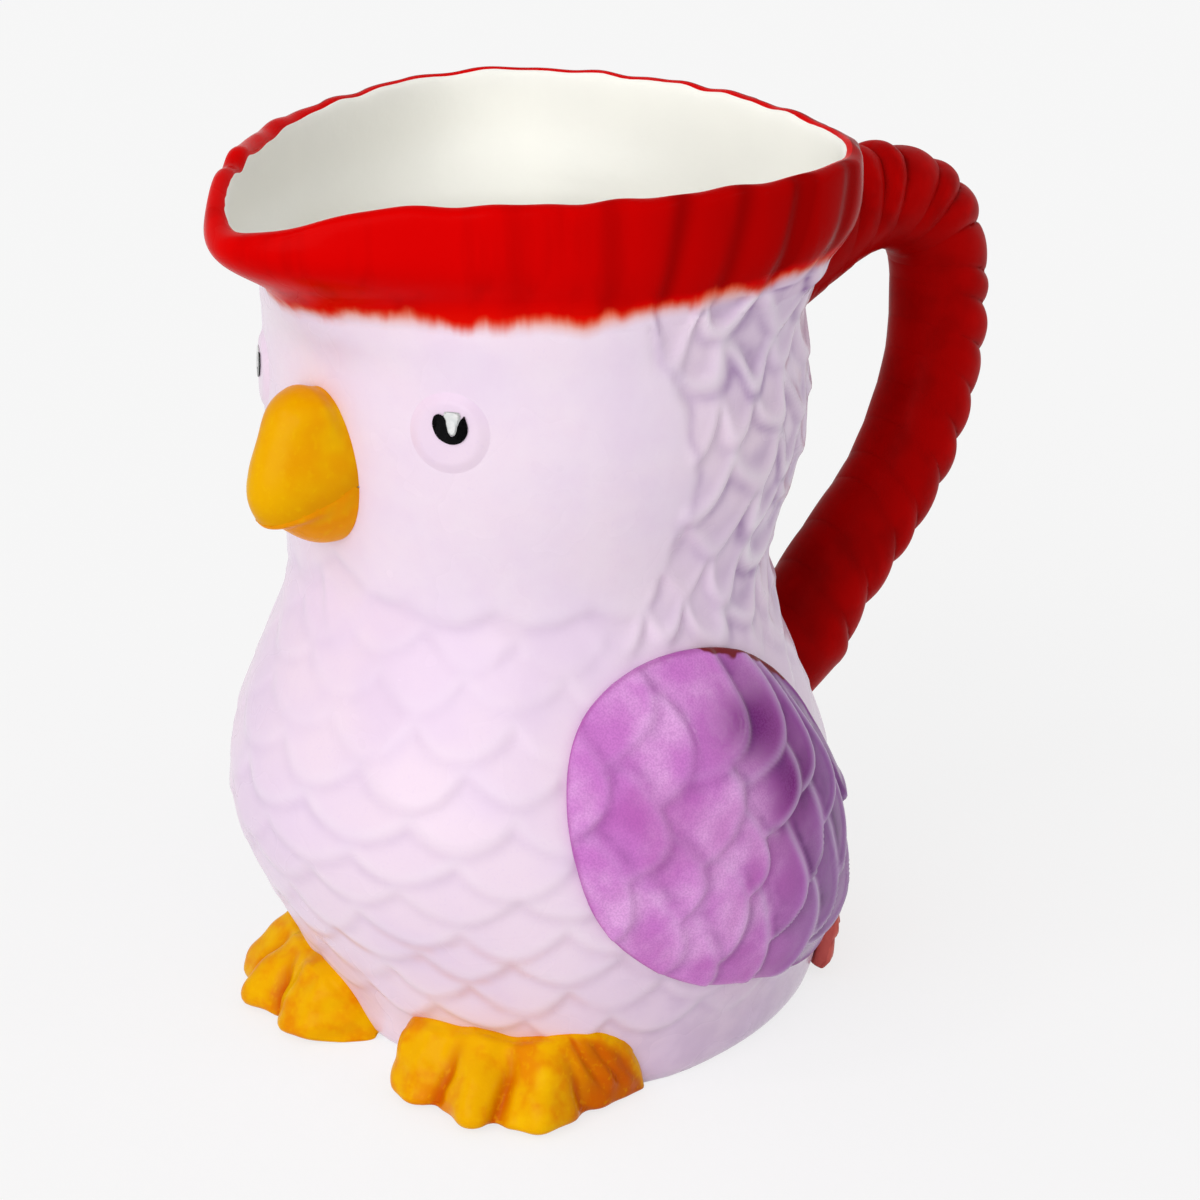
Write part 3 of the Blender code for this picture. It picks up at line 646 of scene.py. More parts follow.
for way, side, widest in ((1, face, widestOut), (-1, smoothStep(-0.1, -0.55, outward), widestIn)):
    gaps = []
    for stop in np.radians(stops):     # how far the two walls are apart where they meet
        outWay = Vector((math.sin(stop), -math.cos(stop), 0))
        start = Vector((0, 0, jointLevel - 0.4 * mm)) + outWay * (crestLook["castFrom"] if way > 0 else 0)
        bodyHit = carvedWall.ray_cast(start, outWay * -way)[3]
        crestHit = crestWall.ray_cast(start, outWay * -way)[3]
        gap = (crestHit - bodyHit) / mm if bodyHit and crestHit else math.inf
        gaps.append(gap if abs(gap) < widest else crestLook["missedGap"])
    gaps = np.interp(turn, stops, gaps, period=360) + crestLook["meet"]
    inset = crestLook["inset"] * smoothStep(*crestLook["insetLevels"], level)
    lap += way * side * (gaps * smoothStep(*crestLook["meetLevels"], level) - inset)
setPoints(crest, pushed(pointsNew, radialOf(points), lap))
overEdge = paintAbove(turn, level)
shadedBackRed = smoothStep(34, 112, np.abs(turn)) * smoothStep(0, 2, overEdge)     # painted shade, a deeper red towards the back
# painted shade in the creases of the flutes and over the back of the red
crestPoolAndShade = np.where(level < 168, wall[1], flute[1] + 1.25 * shadedBackRed)
rimTops = [level[np.abs(turn - stop) < 1].max() for stop in stops]
belowRim = np.interp(turn, stops, rimTops, period=360) - level
redDepth, redTurn, redSpread = crestLook["redInside"]
redReach = mix(0.4, redDepth, bell(np.abs(turn) - redTurn, redSpread))
storeValues(crest, pool=crestPoolAndShade * (outward > 0), ridge=wall[2] * (1 - up) * (outward > 0),
            paint=np.where(outward > -0.6, overEdge, 20), blush=np.zeros(len(points)),
            inside=(outward < 0) * smoothStep(redReach - 0.4, redReach + 0.4, belowRim))
finishPiece(crest, wallGlaze("crestGlaze", 0.015), "crest_rim", 55)


# handle

handleLook = {
    "route": (            # back, height, half-depth, half-width
        (66, 157.5, 20, 12.4), (79, 159.6, 16, 11.8), (90, 161.2, 13.2, 11.2),
        (101, 161.2, 12, 11), (109.2, 158.8, 12, 11), (116.3, 153.6, 12, 11),
        (120, 145.6, 12, 11), (120.8, 136.2, 12, 11), (119.6, 120, 12, 11),
        (115.6, 108.8, 12, 11), (106.4, 93.5, 12, 11), (94.4, 82.2, 12, 11),
        (84.4, 72.8, 12.2, 11.2), (77.5, 63.8, 13.2, 11.8)),
    "ribs": 18,
    "ringsPerRib": 4,
    "ribRuns": (          # run and rib
        (-20, -2.7), (0, 0), (70, 9.4), (90, 11.7), (158, 18.3), (190, 21.4)),
    "plainRib": 1.1,      # rib of the plain handle, taken off before the carving
    "ribHeight": 1.7,
    "grip": (12, 11),     # half-depth and half-width
    "slant": 0.42,
    "sink": 1.6,
    "wander": 0.16,       # ribs stray by this share of their spacing
    "seed": 12,
}


def smoothRoute(keys, values, wanted):     # curve through the rows, slopes from the neighbours
    slopes = np.gradient(values, keys, axis=0)
    where = np.clip(np.searchsorted(keys, wanted, side="right") - 1, 0, len(keys) - 2)
    length = (keys[where + 1] - keys[where])[:, None]
    part = ((wanted - keys[where]) / (keys[where + 1] - keys[where]))[:, None]
    ends = (1 + 2 * part) * (1 - part) ** 2 * values[where] + part ** 2 * (3 - 2 * part) * values[where + 1]
    leave = part * (1 - part) ** 2 * length * slopes[where]
    return ends + leave + part ** 2 * (part - 1) * length * slopes[where + 1]


def handlePlaces(points):     # run along the handle, reach out from its middle line, and ring number
    stations = np.array(handleLook["route"])
    steps = np.linalg.norm(np.diff(stations[:, :2], axis=0), axis=1)
    keys = np.concatenate(((0,), np.cumsum(steps)))
    runs = np.linspace(0, keys[-1], handleLook["ribs"] * handleLook["ringsPerRib"] + 1)
    rows = smoothRoute(keys, stations, runs)
    ways = np.gradient(rows[:, :2], runs, axis=0)
    ways = ways / np.linalg.norm(ways, axis=1, keepdims=True)
    apart = points[:, None, 1:] / mm - rows[None, :, :2]
    along = (apart * ways[None]).sum(axis=2)
    far = np.linalg.norm(apart, axis=2)
    ring = np.argmin(np.abs(along) + 1000 * (far > 24) + 0.05 * far, axis=1)
    pick = np.arange(len(points))
    outs = np.stack((-ways[:, 1], ways[:, 0]), axis=1)
    reach = (apart[pick, ring] * outs[ring]).sum(axis=1)
    return runs[ring] + along[pick, ring], reach, ring, rows[ring], outs[ring], keys[-1]


handle = copyNode("handle", "handle_ribbed")
points = pointsOf(handle)
run, reach, ring, rows, outs, runLength = handlePlaces(points)
beat = ring % handleLook["ringsPerRib"]
onRing = np.abs(run - ring * runLength / (handleLook["ribs"] * handleLook["ringsPerRib"])) < 0.05
swell = handleLook["plainRib"] * np.sin(math.pi * beat / handleLook["ringsPerRib"]) * onRing
depthTurn = np.arctan2(points[:, 0] / mm / (rows[:, 3] + swell), reach / (rows[:, 2] + swell * (reach > 0)))
points[:, 0] -= swell * np.sin(depthTurn) * mm
outShift = swell * np.clip(np.cos(depthTurn), 0, 1) * np.cos(depthTurn) * mm
points[:, 1:] -= outs * outShift[:, None]
setPoints(handle, points)
storeValues(handle, run=run, reach=reach)
subdivideSmooth(handle, 3)
points = pointsOf(handle)
normals = normalsOf(handle)
run = readValues(handle, "run")
reach = readValues(handle, "reach")
gripDepth, gripWidth = handleLook["grip"]
aside = np.abs(points[:, 0] / mm)
edgeTurn = np.degrees(np.arctan2(aside / gripWidth, reach / gripDepth))     # 0 outside, 180 inside
pitch = runLength / handleLook["ribs"]
random = np.random.default_rng(handleLook["seed"])
wander = random.uniform(-handleLook["wander"], handleLook["wander"], handleLook["ribs"] + 4)
phase = np.interp(run + handleLook["slant"] * (gripDepth - reach), *np.array(handleLook["ribRuns"]).T)
phase = phase + np.interp(phase, np.arange(len(wander)) - 1, wander)
lump = np.abs(np.sin(math.pi * phase)) ** 0.65
upperArm = smoothStep(70, 40, run)
outerEdge = smoothStep(118, 48, edgeTurn)
innerEdge = bell(edgeTurn - 180, 46) * mix(0.4, 1, smoothStep(80, 105, run))
sides = 1 - np.clip(outerEdge + innerEdge, 0, 1)
swell = 0.85 + 0.3 * np.sin(np.floor(phase) * 2.1)
onSides = sides * mix(0.03, 0.15, upperArm) * smoothStep(150, 95, edgeTurn)
strength = outerEdge * swell + 0.22 * innerEdge + onSides
strength = strength * smoothStep(-4, 5, run) * smoothStep(runLength + 3, runLength - 5, run)
leaf = bell((np.mod(phase + 0.35, 1) - 0.5) * pitch, 1) * sides * smoothStep(85, 120, run)
relief = handleLook["ribHeight"] * (1 + 0.35 * upperArm) * (lump - 0.6) * strength - 0.1 * leaf
points = pushed(points, normals, relief)
distances, wallNormals = nearestWall(points, wallTrees)
seat = smoothStep(1.6 * mm, 0.5 * mm, distances) * ((run < 2) | (run > runLength - 2))
setPoints(handle, pushed(points, wallNormals, -seat * handleLook["sink"]))
inShade = smoothStep(75, 150, edgeTurn)     # painted shade on the inner side and towards the lower end, where the glaze is also thicker
inShade = (0.3 + 0.35 * smoothStep(105, 150, run)) * inShade
# painted shade in the grooves between the lumps; painted highlight on their tops
storeValues(handle, pool=np.clip(0.8 * bell(lump, 0.3) * strength + 0.2 * leaf + inShade, 0, 1),
            ridge=np.clip((lump - 0.8) / 0.2, 0, 1) * strength)


def redGlaze(name, base, deep, thin):
    glaze = Glaze(name, 0.02)
    colour = glaze.coats(
        base,
        (deep, glaze.patches(90, 3, 0.42, 0.7, 0, 0.3)),
        # painted shade in the hollows; below it, painted highlight on the ridges with thinner glaze
        (deep, glaze.stored("pool", 0.75)),
        (thin, glaze.stored("ridge", glaze.patches(300, 2, 0.35, 0.7), 0.4)))
    sheen = glaze.patches(70, 2, 0.3, 0.7, 0.34, 0.46)
    return glaze.finish(colour, sheen, glaze.noise(420, 2), 0.06)


# a darker red than the crest's: painted shade, as the handle turns from the light, and a thicker glaze
handleRed = redGlaze("handleGlaze", tint(176, 0, 0), tint(94, 0, 0), tint(212, 4, 2))
finishPiece(handle, handleRed, "handle")


# sprigs pressed on to the wall sink into it a little, so that no slit shows

def seatPiece(piece, depth, nearest=0.45, farthest=1.3):
    points = pointsOf(piece)
    distances, wallNormals = nearestWall(points, wallTrees[:1])
    seat = smoothStep(farthest * mm, nearest * mm, distances)
    setPoints(piece, pushed(points, wallNormals, -seat * depth))
    return distances / mm, wallNormals


def pressOn(nodeName, pieceName, *seating):     # a seated sprig and its measures
    piece = copyNode(nodeName, pieceName)
    subdivideSmooth(piece, 3)
    over, wallOut = seatPiece(piece, *seating)
    return piece, over, wallOut, *measuresOf(piece)


# beak

yellow = tint(238, 174, 0)
beakLook = {
    "highlightYellow": tint(244, 194, 4),
    "orange": tint(230, 136, 0),
    "amber": tint(200, 82, 0),
    "halves": (           # node, side, glaze, base, fold (depth, width, overlap), shade (share, width)
        ("beak_upper", -1, "beakGlaze", yellow, (0.14, 2.2, 0.5), (0.42, 4)),
        # the lower half's base is more orange, and brighter as painted light against the shade under the
        # beak
        ("beak_lower", 1, "chinGlaze", tint(255, 168, 0), (0.1, 3, 0.7), (0.32, 7))),
    "slope": 0.44,                     # of the crease between them
    "brow": (2, 2.8, 4.4),             # the top bulges: height, distance below the top, spread
    "lowerBack": 0.9,                  # the lower half reaches less far out
    "lowerRise": (0.6, 1.7),           # and rises, most towards its front
    "lowerFrom": -0.052,               # metres, where it starts to draw back
}


def orangeGlaze(name, base, dabSize, dabShare, poolAndShadeShare):
    glaze = Glaze(name, 0.04)
    look = beakLook
    dabs = glaze.noise(dabSize, 3, None, 0.6)
    colour = glaze.coats(
        base,
        (look["orange"], glaze.span(dabs, 0.42, 0.68, 0, dabShare)),
        # painted highlights: pale yellow patches laid at random
        (look["highlightYellow"], glaze.patches(85, 2, 0.5, 0.68, 0, 0.65)),
        # painted shade in the creases, under the beak and on the back of the feet
        (look["amber"], glaze.stored("pool", poolAndShadeShare)),
        # more small painted highlights, laid at random
        (look["highlightYellow"], glaze.patches(700, 2, 0.55, 0.75, 0, 0.25)))
    sheen = glaze.patches(90, 2, 0.3, 0.7, 0.22, 0.36)
    return glaze.finish(colour, sheen, glaze.noise(380, 3), 0.1)


slope = beakLook["slope"]
partingUp = np.array((0, -slope, 1)) / math.hypot(1, slope)     # normal of the sloping crease
for nodeName, way, glazeName, base, fold, shade in beakLook["halves"]:
    piece = copyNode(nodeName, nodeName + "_glazed")
    heights = pointsOf(piece) @ partingUp * way
    holdCorners(piece, heights > heights.max() - 2e-5)
    subdivideSmooth(piece, 3)
    over = seatPiece(piece, 1.5)[0]
    points = pointsOf(piece)
    if way < 0:
        browHeight, browBelow, browSpread = beakLook["brow"]
        brow = browHeight * bell(points[:, 2] - points[:, 2].max() + browBelow * mm, browSpread * mm)
        points = pushed(points, normalsOf(piece), brow * smoothStep(0.8, 4.5, over))
    else:
        reachOut = np.minimum(points[:, 1] - beakLook["lowerFrom"], 0)
        below = ((points @ partingUp).max() - points @ partingUp) / mm
        points[:, 1] -= reachOut * (1 - beakLook["lowerBack"]) * smoothStep(0.3, 6, below)
        forward = smoothStep(-56, -66, points[:, 1] / mm)
        points[:, 2] += mm * mix(*beakLook["lowerRise"], forward) * smoothStep(0.3, 4, below)
    setPoints(piece, points)
    heights = points @ partingUp * way
    off = (heights.max() - heights) / mm     # distance from the crease
    normals = normalsOf(piece)
    touching = off < 0.02
    normals[touching] -= partingUp * (normals[touching] @ partingUp)[:, None]
    normals /= np.linalg.norm(normals, axis=1, keepdims=True)
    towardsFace = smoothStep(-76, -62, points[:, 1] / mm)
    depth, spread, reachIn = fold
    overlap = reachIn * mix(0.2, 1, towardsFace) * touching     # the halves run into each other
    setPoints(piece, pushed(pushed(points, normals, -depth * bell(off, spread)), partingUp * way, overlap))
    share, spread = shade
    storeValues(piece, pool=share * bell(off, spread) * mix(0.4, 1, towardsFace))
    finishPiece(piece, orangeGlaze(glazeName, base, 60, 0.45, 0.75), nodeName, 60)


# eyes

def plainGlaze(name, base, other, roughness, gloss):
    glaze = Glaze(name, gloss)
    colour = glaze.coats(base, (other, glaze.patches(900, 2, 0.4, 0.7)))
    return glaze.finish(colour, roughness, glaze.noise(800, 2), 0.05)


eyeLook = {
    "turn": 33.3,
    "level": 145.5,
    "reach": 0.055,           # metres, about where the wall is
    "rise": (-0.2, 0.8),      # edge and middle of the disc over the carved face
    "flat": 5.6,              # the disc falls off softly from here to its edge
    "edge": 9,
    "discShift": -1.3,        # towards the beak
    "discDrop": 1,
    "discGrow": 1.12,
    "paintShift": -0.85,
    "whiteOver": 0.14,
    "blackOver": 0.28,
    "castFrom": 0.02,         # metres, off the face
    "plainBend": (0.8, 2.3, 1.1, 2.4),     # height, radius, half-width and top of the plain U
    "plainWedge": (1.45, 1.55),            # middle and half-height of the plain white
    "stroke": (               # run, aside, up, half-width
        (0, -1.65, 2.75, 0.5), (0.4, -1.85, 2.3, 1.08), (1.2, -2.05, 1.3, 1.36), (2.4, -1.98, 0.1, 1.4),
        (3.6, -1.5, -1.05, 1.25), (5.2, 0.05, -2.15, 0.8), (6.8, 1.72, -1.6, 0.95), (8, 2.35, -0.45, 1.08),
        (9.2, 2.5, 0.95, 0.95), (9.9, 2.62, 1.9, 0.6), (10.43, 2.85, 2.85, 0.1)),
}
eyeWhite = plainGlaze("eyeWhiteGlaze", tint(222, 225, 224), tint(238, 238, 237), 0.2, 0.4)
eyeBlack = plainGlaze("eyeBlackGlaze", tint(4, 4, 5), tint(12, 12, 14), 0.16, 0.08)
moundLilac = wallGlaze("eyeMoundGlaze", 0.24)


def paintedStroke(aside, up):     # bends the plain U into the hand-painted one
    bendUp, bendRadius, bendHalf, top = eyeLook["plainBend"]
    below = up < bendUp
    angle = np.arctan2(aside, bendUp - up)
    halfTurn = bendRadius * 0.5 * math.pi
    arm = top - bendUp
    straight = np.where(aside < 0, top - up, arm + 2 * halfTurn + up - bendUp)
    run = np.where(below, arm + halfTurn + bendRadius * angle, straight)
    share = np.where(below, np.hypot(aside, up - bendUp) - bendRadius, np.abs(aside) - bendRadius) / bendHalf
    rows = np.array(eyeLook["stroke"])
    fine = np.linspace(0, rows[-1, 0], 60)
    path = smoothRoute(rows[:, 0], rows[:, 1:], fine)
    way = np.gradient(path[:, :2], fine, axis=0)
    way = way / np.linalg.norm(way, axis=1, keepdims=True)
    columns = [np.interp(run, fine, column) for column in (*path.T, way[:, 0], way[:, 1])]
    middleAside, middleUp, half, wayAside, wayUp = columns
    return middleAside + wayUp * share * half, middleUp - wayAside * share * half


def paintedWedge(aside, up):     # the white between the arms, wide and flat at the top
    middle, half = eyeLook["plainWedge"]
    along = np.clip((up - middle) / half, -1, 1)
    flatter = np.where(along > 0, (1 - along ** 4 + 1e-4) ** 0.25 / np.sqrt(1 - along ** 2 + 1e-4), 1)
    return 0.4 + aside * np.minimum(flatter, 2.4) * mix(1.3, 2.1, 0.5 * along + 0.5), 1 + 2.5 * along


for side, way in (("left", 1), ("right", -1)):
    eyeTurn = math.radians(eyeLook["turn"])
    guess = Vector((way * eyeLook["reach"] * math.sin(eyeTurn), -eyeLook["reach"] * math.cos(eyeTurn),
                    eyeLook["level"] * mm))
    eyeMiddle = np.array(wallTrees[0].find_nearest(guess)[0])
    asideWay = np.array((way * math.cos(eyeTurn), math.sin(eyeTurn), 0))     # away from the beak
    outWay = np.array((way * math.sin(eyeTurn), -math.cos(eyeTurn), 0))
    for part, material, slotName in (("eye_mound_", moundLilac, "lilac_glaze"),
                                     ("eye_white_", eyeWhite, "white_enamel"),
                                     ("pupil_", eyeBlack, "black_enamel")):
        piece = copyNode(part + side, part + side + "_glazed")
        subdivideSmooth(piece, 3)
        points = pointsOf(piece)
        lift = nearestWall(points, wallTrees[:1])[0] / mm
        aside = (points - eyeMiddle) @ asideWay / mm
        up = (points - eyeMiddle)[:, 2] / mm
        if part == "eye_mound_":
            upper = lift > 0.55
            aside = aside * eyeLook["discGrow"] + eyeLook["discShift"]
            up = up * eyeLook["discGrow"] - eyeLook["discDrop"]
            over = 0
            none = np.zeros(len(points))
            storeValues(piece, pool=none, ridge=none, blush=none, inside=none, paint=none + unpainted)
        else:
            plain = 0.7 + 0.8 * np.clip(1 - (np.hypot(aside, up) / 8) ** 2, 0, 1) ** 0.8
            upper = lift > plain + 0.42
            aside, up = (paintedStroke if part == "pupil_" else paintedWedge)(aside, up)
            aside = aside + eyeLook["paintShift"]
            over = eyeLook["blackOver"] if part == "pupil_" else eyeLook["whiteOver"]
        fromDisc = np.hypot(aside - eyeLook["discShift"], up + eyeLook["discDrop"])
        edgeRise, middleRise = eyeLook["rise"]
        rise = mix(edgeRise, middleRise, smoothStep(eyeLook["edge"], eyeLook["flat"], fromDisc))
        rise = np.where(upper, rise + over, rise - 0.7)
        flat = pushed(pushed(eyeMiddle, asideWay, aside), np.array((0, 0, 1)), up)
        for number, point in enumerate(flat):     # set on to the carved face along the eye's own axis
            place = carvedWall.ray_cast(Vector(point + eyeLook["castFrom"] * outWay), Vector(-outWay))[0]
            points[number] = np.array(place) + outWay * rise[number] * mm
        setPoints(piece, points)
        finishPiece(piece, material, part + side, 50)


# wings

wingLook = {
    "middleTurn": 93,     # degrees, where the outline's zero lies
    "roll": 60,           # millimetres, radius the wing is unrolled at
    "feathers": (         # tip round and up in millimetres, slope in degrees, the lowest layer first
        (36, 53, -36), (35, 28, -42), (29.8, 40.5, -40), (24.6, 31, -40), (16, 23.5, -40),
        (24, 57.5, -35), (16.5, 46, -36), (10, 37.5, -36), (2, 25.5, -34), (16.8, 68.5, -30),
        (8.9, 63, -30), (-0.5, 51, -22), (-5, 37.5, -24), (10.5, 76.5, -28), (-11, 27.5, -26),
        (-4.7, 66, -12), (0, 80.5, -27), (-15, 49, -18), (-18, 36.5, -20), (-14.7, 77, -14),
        (-22, 62, -18), (-28, 48, -16), (-21.5, 87.5, -15), (-32, 74, -12)),
    "height": 1.3,
    "fall": 17,
    "bow": 8.5,           # roundness of the tips
    "ledge": 1.3,
    "frontThin": 0.55,    # the pad is thinner at its front
    "smear": (84, 90, 109, 117),     # a slip of dark red along the upper edge, degrees
}


def wingRelief(around, up):
    height = np.full_like(around, -0.1)
    pool = np.zeros_like(around)
    ridge = np.zeros_like(around)
    shade = np.zeros_like(around)
    ledge = wingLook["ledge"]
    bow = wingLook["bow"]
    around = around + 0.7 * np.sin(up / 4.3 + around / 7)
    up = up + 0.7 * np.sin(around / 5 - up / 8)
    for tipAround, tipUp, slope in wingLook["feathers"]:
        lean = math.radians(slope)
        along = (around - tipAround) * math.cos(lean) + (up - tipUp) * math.sin(lean)
        aside = (up - tipUp) * math.cos(lean) - (around - tipAround) * math.sin(lean)
        near = (-along - aside ** 2 / (2 * bow)) / np.hypot(1, aside / bow)
        cover = onLedge(ledge, near)
        fade = smoothStep(-26, -12, along)     # the edge gets faint along the feather
        own = np.maximum(wingLook["height"] * (1 + along / wingLook["fall"]), -0.1)
        own = own + 0.25 * bell(near - ledge, 1) * fade
        height = mix(height, own, cover)
        bare = 1 - cover
        under = near + 0.7 * ledge
        pool = np.maximum(pool * bare, bare * bell(under, 1) * fade)
        ridge = np.maximum(ridge * bare, cover * bell(near - 0.7 * ledge, 0.8) * fade)
        shade = np.maximum(shade * bare, bare * bell(under, 3.4) * fade)
    return height - 0.65, pool, ridge, shade


def purpleGlaze():
    glaze = Glaze("wingGlaze", 0.2)
    patchy = glaze.patches(130, 2, 0.35, 0.65, 0.3, 1)
    torn = glaze.reckon("ADD", glaze.stored("smear"), glaze.patches(200, 2, 0.3, 0.7, -0.15, 0.15))
    colour = glaze.coats(
        tint(212, 126, 210),
        (tint(238, 176, 236), glaze.patches(85, 3, 0.35, 0.68)),
        (tint(180, 74, 170), glaze.patches(55, 2, 0.5, 0.7, 0, 0.5)),
        # painted shade: the rear of the wing is darker, as it turns from the light
        (tint(128, 68, 146), glaze.stored("back", 0.85)),
        (tint(118, 22, 116), glaze.stored("patch")),
        (tint(160, 80, 166), glaze.patches(2600, 1, 0.3, 0.7, 0, 0.3)),
        (tint(92, 14, 104), glaze.stored("pool", patchy, 0.95)),
        (tint(214, 186, 226), glaze.stored("ridge", 0.6)),
        (tint(150, 55, 140), glaze.stored("hem", 0.5)),
        (tint(118, 6, 26), glaze.span(torn, 0.25, 0.45)))
    sheen = glaze.patches(80, 2, 0.3, 0.7, 0.14, 0.26)
    return glaze.finish(colour, sheen, glaze.noise(500, 2), 0.06)


purple = purpleGlaze()
for side in ("left", "right"):
    measures = pressOn("wing_" + side, "wing_" + side + "_feathered", 1.6, 0.5, 1.5)
    wing, over, wallOut, points, normals, turn, level = measures
    turn = np.abs(turn)
    around = np.radians(turn - wingLook["middleTurn"]) * wingLook["roll"]
    height, pool, ridge, shade = wingRelief(around, level)
    top = smoothStep(1.1, 2.6, over)
    toBack = smoothStep(-14, 16, around)
    thin = 1 - mix(wingLook["frontThin"], 1, smoothStep(-34, -2, around))
    moved = pushed(points, normals, height * top * mix(0.65, 1.4, toBack))
    setPoints(wing, pushed(moved, wallOut, -thin * np.clip(over - 0.9, 0, None)))
    # painted shade under the rims and painted highlight on them, both stronger towards the back
    pool = np.maximum(pool * mix(0.3, 1, toBack), 0.6 * shade * toBack)
    patch = bell(around - 2, 10) * bell(level - 81, 8)     # painted shade, darker patches near the shoulder and lower on the wing
    patch = patch + bell(around - 9, 8) * bell(level - 66, 9)
    first, full, fade, last = wingLook["smear"]
    slip = smoothStep(first, full, turn) * smoothStep(last, fade, turn) * smoothStep(70, 76, level)
    storeValues(wing, pool=blurValues(wing, top * pool, 1), back=smoothStep(-4, 24, around),
                ridge=blurValues(wing, ridge * top * mix(0.2, 1, toBack), 1), patch=np.clip(patch, 0, 1),
                hem=smoothStep(2.3, 1.7, over), smear=slip * smoothStep(3, 1.2, over))
    finishPiece(wing, purple, "wing_" + side)


# feet

footLook = {
    "toes": (             # turn, level, half-width, half-height, rise
        (19.5, 9.5, 6.8, 9, 1), (36, 6, 4.8, 6, 1.7), (49, 7, 5.8, 7.5, 1.5),
        (31, 16, 6, 3.5, 0.7), (46, 16, 6.5, 4, 0.8), (65, 10, 6, 8, 0.7)),
    "creases": (          # turn, lean, depth, width; the last four are grooves at the back
        (29.8, 0.35, 1.5, 1.6), (42.8, 0.3, 1.8, 1.7), (56.5, -0.25, 1.4, 1.5), (60.5, -0.6, 0.8, 1),
        (64.5, -0.6, 0.9, 1), (68.5, -0.6, 0.8, 1), (72, -0.6, 0.6, 0.9)),
    "creaseLevel": 9,     # where the turns of the creases are given
    "lumps": 0.42,
}
footOrange = orangeGlaze("footGlaze", yellow, 120, 0.9, 0.9)
for side in ("left", "right"):
    measures = pressOn("foot_" + side, "foot_" + side + "_toed", 1.6, 0.45, 1)
    foot, over, wallOut, points, normals, turn, level = measures
    turn = np.abs(turn)
    relief = np.zeros(len(points))
    pool = np.zeros(len(points))
    for toeTurn, toeLevel, toeHalf, toeHigh, rise in footLook["toes"]:
        relief += rise * bell(turn - toeTurn, toeHalf) * bell(level - toeLevel, toeHigh)
    for creaseTurn, lean, depth, spread in footLook["creases"]:
        groove = bell(turn - creaseTurn - lean * (level - footLook["creaseLevel"]), spread)
        groove = groove * (smoothStep(3, 7, level) if lean < -0.5 else smoothStep(17, 7, level))
        relief -= depth * groove
        # painted shade in the creases
        pool = np.maximum(pool, groove)
    relief += footLook["lumps"] * np.sin(turn * 0.62 + 0.4 * level) * np.sin(0.55 * level - 0.3 * turn + 1)
    # painted shade on the back of the foot, which turns from the light
    pool = np.maximum(pool, 0.95 * smoothStep(50, 62, turn))
    skin = smoothStep(1, 3, over) * smoothStep(0, 2, level)
    moved = pushed(points, normals, relief * skin)
    moved[:, 2] = np.maximum(moved[:, 2], points[:, 2].min())
    setPoints(foot, moved)
    storeValues(foot, pool=blurValues(foot, pool * smoothStep(0.5, 2, over), 1))
    finishPiece(foot, footOrange, "foot_" + side)


# tail

tailLook = {
    "roll": 66,               # millimetres, radius the pad is unrolled at
    "reach": 37,
    "unit": 26,
    "rim": 0,
    "dish": 0,
    "stray": 0,
    "uneven": 0,
    "squat": (0.92, 0.7),     # the pad is a little lower than its plain form, most at the sides
    "sideThin": (0.62, 1),    # above, and at the hem
    "sideDrop": 2.5,
    "rows": ((4.5, 0), (14, 0.2), (22.5, 0)),
    "width": 0.4,
    "count": 9,
    "depth": 5.5,
    "power": 2.2,
    "height": 1.5,
    "fall": 15,
    "dome": 0.3,
    "ledge": 1.4,
    "wander": 0.4,
    "seed": 21,
}
tail, over, wallOut, points, normals, turn, level = pressOn("tail", "tail_feathered", 1.8, 0.5, 1.8)
back = np.radians((turn % 360) - 180) * tailLook["roll"]
fan = back / (tailLook["reach"] * mix(1, 0.45, smoothStep(2, 36, level)))
height, pool, ridge = layFeathers(fan, level, tailLook)
top = smoothStep(1.5, 3.5, over)
toSide = smoothStep(10, 28, np.abs(back))
moved = pushed(points, normals, (height - 0.7) * top)
thin = mix(*tailLook["sideThin"], smoothStep(9, 4, level)) * toSide
moved = pushed(moved, wallOut, -thin * np.clip(over - 0.9, 0, None))
moved[:, 2] = moved[:, 2] * mix(*tailLook["squat"], toSide) - tailLook["sideDrop"] * mm * toSide
moved[:, 2] = np.maximum(moved[:, 2], 0.8 * mm)
setPoints(tail, moved)
storeValues(tail, pool=pool * top, ridge=ridge * top)
tailRed = redGlaze("tailGlaze", tint(218, 108, 98), tint(168, 52, 50), tint(236, 184, 176))
finishPiece(tail, tailRed, "tail")


# studio

studio = {
    "background": 0.913,
    "floorSize": 12,
    "floorGrey": 0.82,
    "floorGlow": 0.72,    # share of the floor's look that doesn't take shadow
    "floorLight": 1.04,
    "ambient": 0.55,
    "lamps": (            # strength, turn, spread in degrees
        ("keyLamp", 1.37, (67, 0, 22), 50),
        ("sideLamp", 0.1, (68, 0, 116), 10),
        ("topLamp", 0.17, (44, 0, -10), 9)),
    "camera": (0.5046, -0.4366, 0.3378),
    "cameraTurn": (70, 0, 48),
    "lens": 102,
    "sensor": 36,
    "shift": -17 / 1200,
}


def mathNode(tree, operation, first):
    node = tree.nodes.new("ShaderNodeMath")
    node.operation = operation
    tree.links.new(first, node.inputs[0])
    return node


def seenRays(tree):     # 1 for what the camera sees itself or in a reflection
    path = tree.nodes.new("ShaderNodeLightPath")
    seen = path.outputs["Is Camera Ray"]
    for name in ("Is Glossy Ray", "Is Transmission Ray"):
        node = mathNode(tree, "MAXIMUM", seen)
        tree.links.new(path.outputs[name], node.inputs[1])
        seen = node.outputs[0]
    return seen


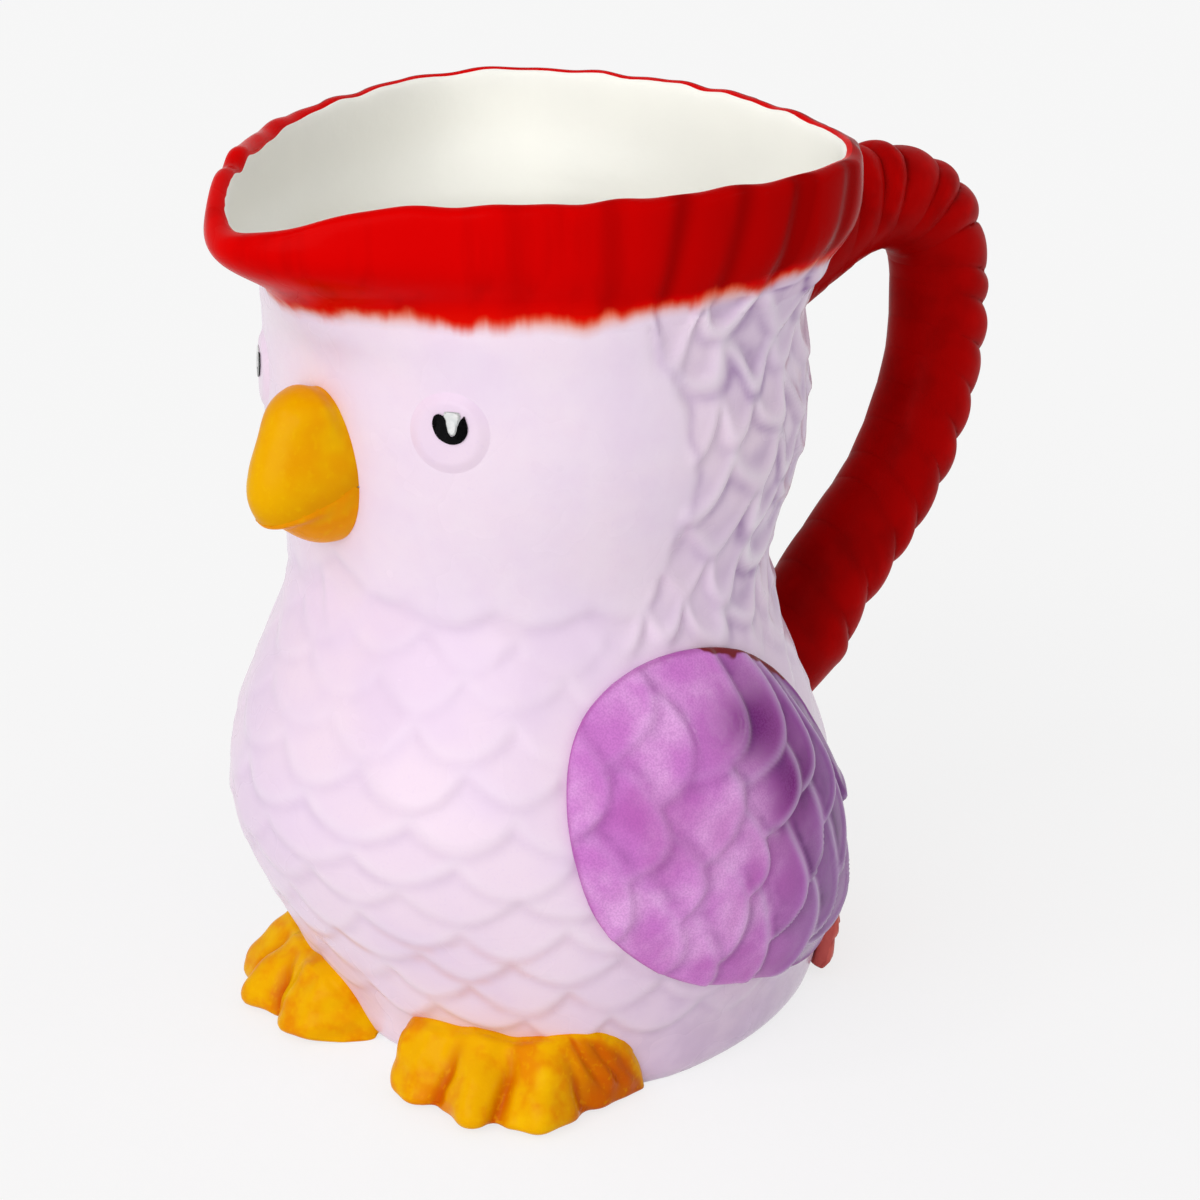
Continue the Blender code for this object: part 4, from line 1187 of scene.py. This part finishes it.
def blendSeen(tree, lit, seen, share, target):     # light meets the first, the camera sees the second
    blend = tree.nodes.new("ShaderNodeMixShader")
    for source, socket in ((share, "Fac"), (lit.outputs[0], 1), (seen.outputs[0], 2)):
        tree.links.new(source, blend.inputs[socket])
    tree.links.new(blend.outputs[0], tree.nodes[target].inputs["Surface"])


def grey(value):
    return (value, value, value, 1)


bpy.ops.object.select_all(action="DESELECT")
bpy.ops.mesh.primitive_plane_add(size=studio["floorSize"])
floor = bpy.context.active_object
floor.name = "studio_floor"
floorMaterial = bpy.data.materials.new("studioFloor")
floorMaterial.use_nodes = True
tree = floorMaterial.node_tree
plain = tree.nodes["Principled BSDF"]
plain.inputs["Base Color"].default_value = grey(studio["floorGrey"])
plain.inputs["Roughness"].default_value = 0.9
plain.inputs["Specular IOR Level"].default_value = 0
glow = tree.nodes.new("ShaderNodeEmission")
glow.inputs["Color"].default_value = grey(studio["floorLight"])
share = mathNode(tree, "MULTIPLY", seenRays(tree))
share.inputs[1].default_value = studio["floorGlow"]
blendSeen(tree, plain, glow, share.outputs[0], "Material Output")
floor.data.materials.append(floorMaterial)

world = bpy.data.worlds.new("studioWorld")
bpy.context.scene.world = world
world.use_nodes = True
tree = world.node_tree
dim = tree.nodes["Background"]
dim.inputs["Color"].default_value = grey(1)
dim.inputs["Strength"].default_value = studio["ambient"]
seen = tree.nodes.new("ShaderNodeBackground")
seen.inputs["Color"].default_value = grey(studio["background"])
blendSeen(tree, dim, seen, seenRays(tree), "World Output")


def putInScene(data, angles):
    item = bpy.data.objects.new(data.name, data)
    item.rotation_euler = [math.radians(angle) for angle in angles]
    bpy.context.scene.collection.objects.link(item)
    return item


for lampName, strength, angles, spread in studio["lamps"]:
    lamp = bpy.data.lights.new(lampName, "SUN")
    lamp.energy = strength
    lamp.angle = math.radians(spread)
    putInScene(lamp, angles)

cameraData = bpy.data.cameras.new("photoCamera")
cameraData.lens = studio["lens"]
cameraData.sensor_width = studio["sensor"]
cameraData.shift_y = studio["shift"]
camera = putInScene(cameraData, studio["cameraTurn"])
camera.location = studio["camera"]
bpy.context.scene.camera = camera
bpy.context.scene.view_settings.view_transform = "Standard"
print("studio ready")
